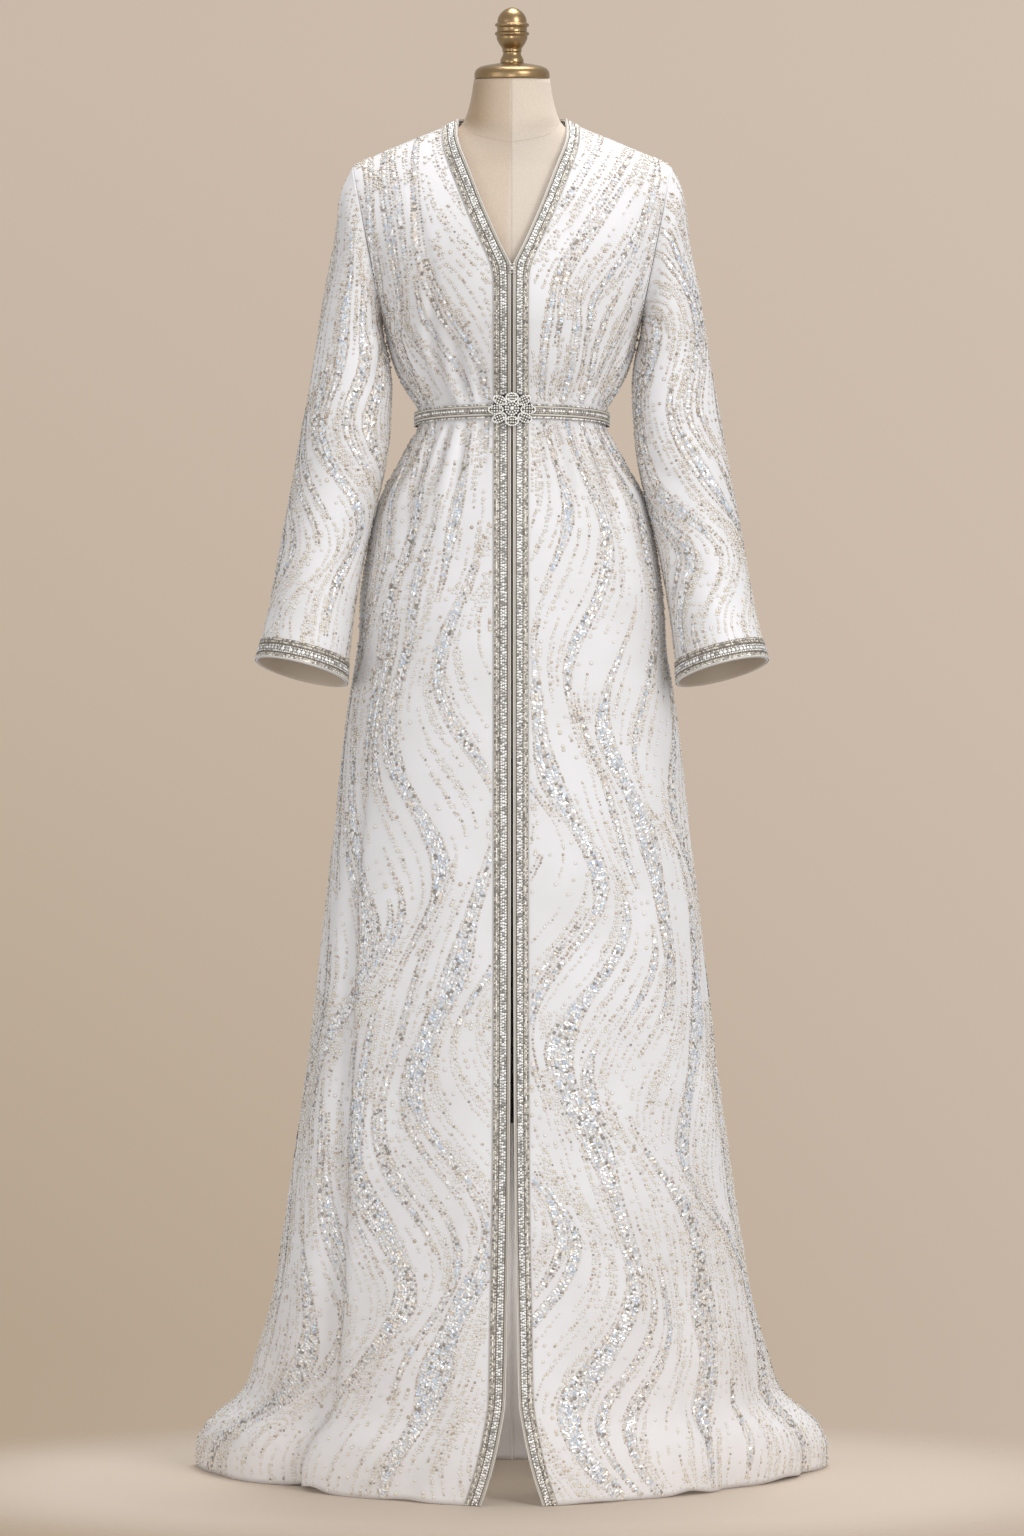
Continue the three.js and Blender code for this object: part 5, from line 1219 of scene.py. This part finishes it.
seam_thread = Finish("seam thread", Roughness=0.8)
seam_thread.vary("Base Color", seam_thread.noise(900, 1), (0.50, 0.42, 0.33), (0.60, 0.52, 0.42))
THREAD, THREAD_STEPS = 0.32, 160
threads = []
down = np.linspace(FORM_LOW + 2, FORM_TOP - 0.5, THREAD_STEPS)
around = np.linspace(0, 2 * np.pi, THREAD_STEPS)
neck_line = NECK_SEAM - NECK_SEAM_DIP * np.clip(-np.sin(around), 0, 1) ** 1.5
middles = [on_form(np.full(THREAD_STEPS, turn), down) for turn in (-np.pi / 2, np.pi / 2)]
for line in (*middles, on_form(around, neck_line)):
    along = unit(np.gradient(line, axis=0))
    out = unit(np.cross(along, np.cross(stack(line[:, 0], line[:, 1], 0), along)))
    round_ = circle(6)[None, :, None]
    aside = np.cross(along, out)
    tube = line[:, None] + THREAD * (out[:, None] * np.cos(round_) + aside[:, None] * np.sin(round_))
    threads.append((tube.reshape(-1, 3), grid_faces(*tube.shape[:2], True)))
piece("form_seam_threads", *joined(threads), seam_thread, "linen")

# ---- Neck cap and finial ----
# A domed cap and a turned egg finial in antique brass, lacquered and darkened in the grooves.
# The finial's stem is screwed through the cap into the top of the form.
# radius, height
CAP = [(42.2, 1618.6), (43, 1620), (43, 1623.6), (42.2, 1626.8), (40, 1629.8), (36, 1632.2), (30, 1634),
       (21.6, 1635.4), (13, 1636.6)]
FINIAL = [
    (13.2, 1636.2), (13.4, 1638.4), (12.8, 1641.2), (11.4, 1644), (10.3, 1646.6), (10.2, 1648.6),
    (11.1, 1650), (10.9, 1652), (11.8, 1654), (14.1, 1657.2), (16.1, 1660.8), (17.5, 1664.4),
    (17.7, 1667.2), (19.2, 1668.4), (19.7, 1669.8), (19.1, 1671.3), (17.3, 1672.4), (17, 1674.8),
    (17.3, 1677.2), (19.1, 1678.4), (19.6, 1679.8), (18.8, 1681.3), (16.9, 1682.4), (16.6, 1685.2),
    (15.7, 1688.6), (13.7, 1692.2), (10.6, 1695.4), (6.4, 1698.2), (2, 1699.7),
]


def turned(name, profile):
    """A piece of turned brass, closed on its axis at both ends."""
    line = np.array(profile, float)
    keys = np.arange(len(line))
    fine = np.linspace(0, len(line) - 1, (len(line) - 1) * 3 + 1)
    radius = ease(np.stack([keys, line[:, 0]], 1), fine)
    height = ease(np.stack([keys, line[:, 1]], 1), fine)
    radius = np.concatenate([[0.01], radius, [0.01]])
    height = np.concatenate([height[:1], height, height[-1:]])
    turn = circle(64)
    grid = stack(radius[:, None] * np.cos(turn), radius[:, None] * np.sin(turn), height[:, None] + 0 * turn)
    return piece(name, grid.reshape(-1, 3), grid_faces(*grid.shape[:2], True), brass, "brass")


brass = Finish("antique brass", Metallic=1.0, Roughness=0.3)
brass.vary("Base Color", brass.noise(45, 1), (0.36, 0.245, 0.125), (0.43, 0.30, 0.165), 0.3, 0.7)
brass.vary("Roughness", brass.noise(60, 1), (0.3,) * 3, (0.35,) * 3)
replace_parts(turned("cap_brass", CAP), "neck_cap")
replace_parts(turned("finial_brass", FINIAL), "finial")

# ---- Stand ----
# A dark steel pole under the form, a turned hub and four splayed legs on round feet. The gown
# hides it; its pieces keep the shapes of the frame and get a worn lacquer.
lacquer = Finish("dark lacquered steel", Metallic=0.7, Roughness=0.45)
lacquer.vary("Base Color", lacquer.noise(60, 4), (0.05, 0.045, 0.04), (0.13, 0.12, 0.11))
for name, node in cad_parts.items():
    if name.startswith(("stand_", "leg_", "foot_")):
        node.data.materials.clear()
        node.data.materials.append(lacquer.made)

# ---- Sheets of cloth ----
# What each panel and sleeve was cut to before it was gathered and sewn, and what lies on it; it is only
# unpacked here, nothing is done with it.
for name, cloth in cloths.items():
    flat, area, held, rests, sewn = cloth["sheet"]
    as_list(rests)
    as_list(sewn)

# ---- Room ----
# A plain pale floor whose far edge melts into a warm backdrop with painted shade low on its left,
# soft light from the front right and above, and a long lens at eye height.
FLOOR, FLOOR_HALF, FLOOR_STRETCH = (0.675, 0.575, 0.48), 1.6, 1.6
FADE_FROM, FADE_TO = 0.5, 0.86
paper = Finish("studio paper", Roughness=0.95)
paper.vary("Base Color", paper.noise(1.2, 1), tuple(c * 0.97 for c in FLOOR), FLOOR, 0.2, 0.8)
nodes, links = paper.nodes, paper.links
place = add_node(nodes, "TexCoord")
pool = add_node(nodes, "VectorMath", operation="MULTIPLY")
pool.inputs[1].default_value = (1, FLOOR_STRETCH, 0)
far = add_node(nodes, "VectorMath", operation="LENGTH")
fade = add_node(nodes, "MapRange", interpolation_type="SMOOTHSTEP", From_Min=FADE_FROM, From_Max=FADE_TO,
                To_Min=1, To_Max=0)
links.new(place.outputs["Object"], pool.inputs[0])
links.new(pool.outputs[0], far.inputs[0])
links.new(far.outputs["Value"], fade.inputs["Value"])
links.new(fade.outputs["Result"], paper.shader.inputs["Alpha"])
corners = [(x * FLOOR_HALF, y * FLOOR_HALF, -0.0005) for x, y in ((-1, -1), (1, -1), (1, 1), (-1, 1))]
mesh = bpy.data.meshes.new("studio_floor")
mesh.from_pydata(corners, [], [(0, 1, 2, 3)])
mesh.materials.append(paper.made)
room = bpy.data.objects.new("studio_floor", mesh)
bpy.context.scene.collection.objects.link(room)
room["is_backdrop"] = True


def softbox(name, place, target, size, power, colour):
    """A soft rectangular light aimed at a point."""
    light = bpy.data.lights.new(name, "AREA")
    light.shape, light.size, light.energy, light.color = "SQUARE", size, power, colour
    made = bpy.data.objects.new(name, light)
    made.location = place
    made.rotation_euler = (Vector(target) - Vector(place)).to_track_quat("-Z", "Y").to_euler()
    bpy.context.scene.collection.objects.link(made)


softbox("key", (3.2, -4.2, 3.6), (0, 0, 1.0), 2.2, 140, (0.99, 0.985, 0.98))
softbox("fill", (-4.2, -4.0, 1.8), (0, 0, 0.9), 3.0, 32, (0.97, 0.975, 0.98))
softbox("front", (-0.2, -6.4, 0.9), (0, 0, 0.6), 1.4, 44, (1, 0.99, 0.98))
softbox("inside the skirt", (0, -0.085, 0.24), (0, 0.17, 0.08), 0.08, 0.24, (1, 0.95, 0.88))
softbox("top", (0.3, 0.6, 4.2), (0, 0, 1.2), 1.6, 60, (1, 1, 1))
# The backdrop is the room's far wall, with a painted shadow of the gown: a little darker to the left and
# towards the floor.
# share of the way up, colour of its left side, colour of its right side
BACKDROP = [
    (0.0, (0.480, 0.380, 0.285), (0.575, 0.470, 0.380)), (0.3, (0.456, 0.361, 0.266), (0.565, 0.462, 0.371)),
    (0.62, (0.546, 0.445, 0.347), (0.610, 0.503, 0.413)), (0.9, (0.591, 0.485, 0.397), (0.631, 0.527, 0.429)),
]
BACKDROP_SPAN, SIDE_SPAN = (-0.22, 0.06), (-0.07, 0.07)  # parts of the view that it runs over
AMBIENT, AMBIENT_POWER = (0.93, 0.905, 0.885, 1), 0.55
world = bpy.data.worlds.new("studio")
world.use_nodes = True
bpy.context.scene.world = world
nodes, links = world.node_tree.nodes, world.node_tree.links
ambient, seen = nodes["Background"], add_node(nodes, "Background")
ambient.inputs["Color"].default_value = AMBIENT
ambient.inputs["Strength"].default_value = AMBIENT_POWER
way = add_node(nodes, "SeparateXYZ")
links.new(add_node(nodes, "TexCoord").outputs["Generated"], way.inputs[0])


def share_of(axis, span):
    """How far along a span of the view something lies, from 0 to 1."""
    share = add_node(nodes, "MapRange", From_Min=span[0], From_Max=span[1])
    links.new(way.outputs[axis], share.inputs["Value"])
    return share.outputs["Result"]


wall = add_node(nodes, "Mix", data_type="RGBA")
links.new(share_of("X", SIDE_SPAN), wall.inputs["Factor"])
for side, socket in enumerate("AB", 1):
    ramp = add_node(nodes, "ValToRGB")
    stops = ramp.color_ramp.elements
    while len(stops) < len(BACKDROP):
        stops.new(0.5)
    for stop, row in zip(stops, BACKDROP):
        stop.position, stop.color = row[0], (*row[side], 1)
    links.new(share_of("Z", BACKDROP_SPAN), ramp.inputs["Fac"])
    links.new(ramp.outputs["Color"], wall.inputs[socket])
links.new(wall.outputs["Result"], seen.inputs["Color"])
rays, either = add_node(nodes, "LightPath"), add_node(nodes, "MixShader")
links.new(rays.outputs["Is Camera Ray"], either.inputs["Fac"])
links.new(ambient.outputs[0], either.inputs[1])
links.new(seen.outputs[0], either.inputs[2])
links.new(either.outputs[0], nodes["World Output"].inputs["Surface"])
bpy.context.scene.view_settings.view_transform = "Standard"

EYE, AIM, LENS = (0, -8.724, 1.35), (0, AXIS_Y * MM, 0.8301), 177.9
camera = bpy.data.objects.new("camera", bpy.data.cameras.new("camera"))
camera.data.sensor_fit, camera.data.sensor_width, camera.data.lens = "AUTO", 36, LENS
camera.data.clip_end = 100
camera.location = EYE
camera.rotation_euler = (Vector(AIM) - Vector(EYE)).to_track_quat("-Z", "Y").to_euler()
bpy.context.scene.collection.objects.link(camera)
bpy.context.scene.camera = camera

low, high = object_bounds()
{"cad": [list(cad_low), list(cad_high)], "visual": [list(low), list(high)]}
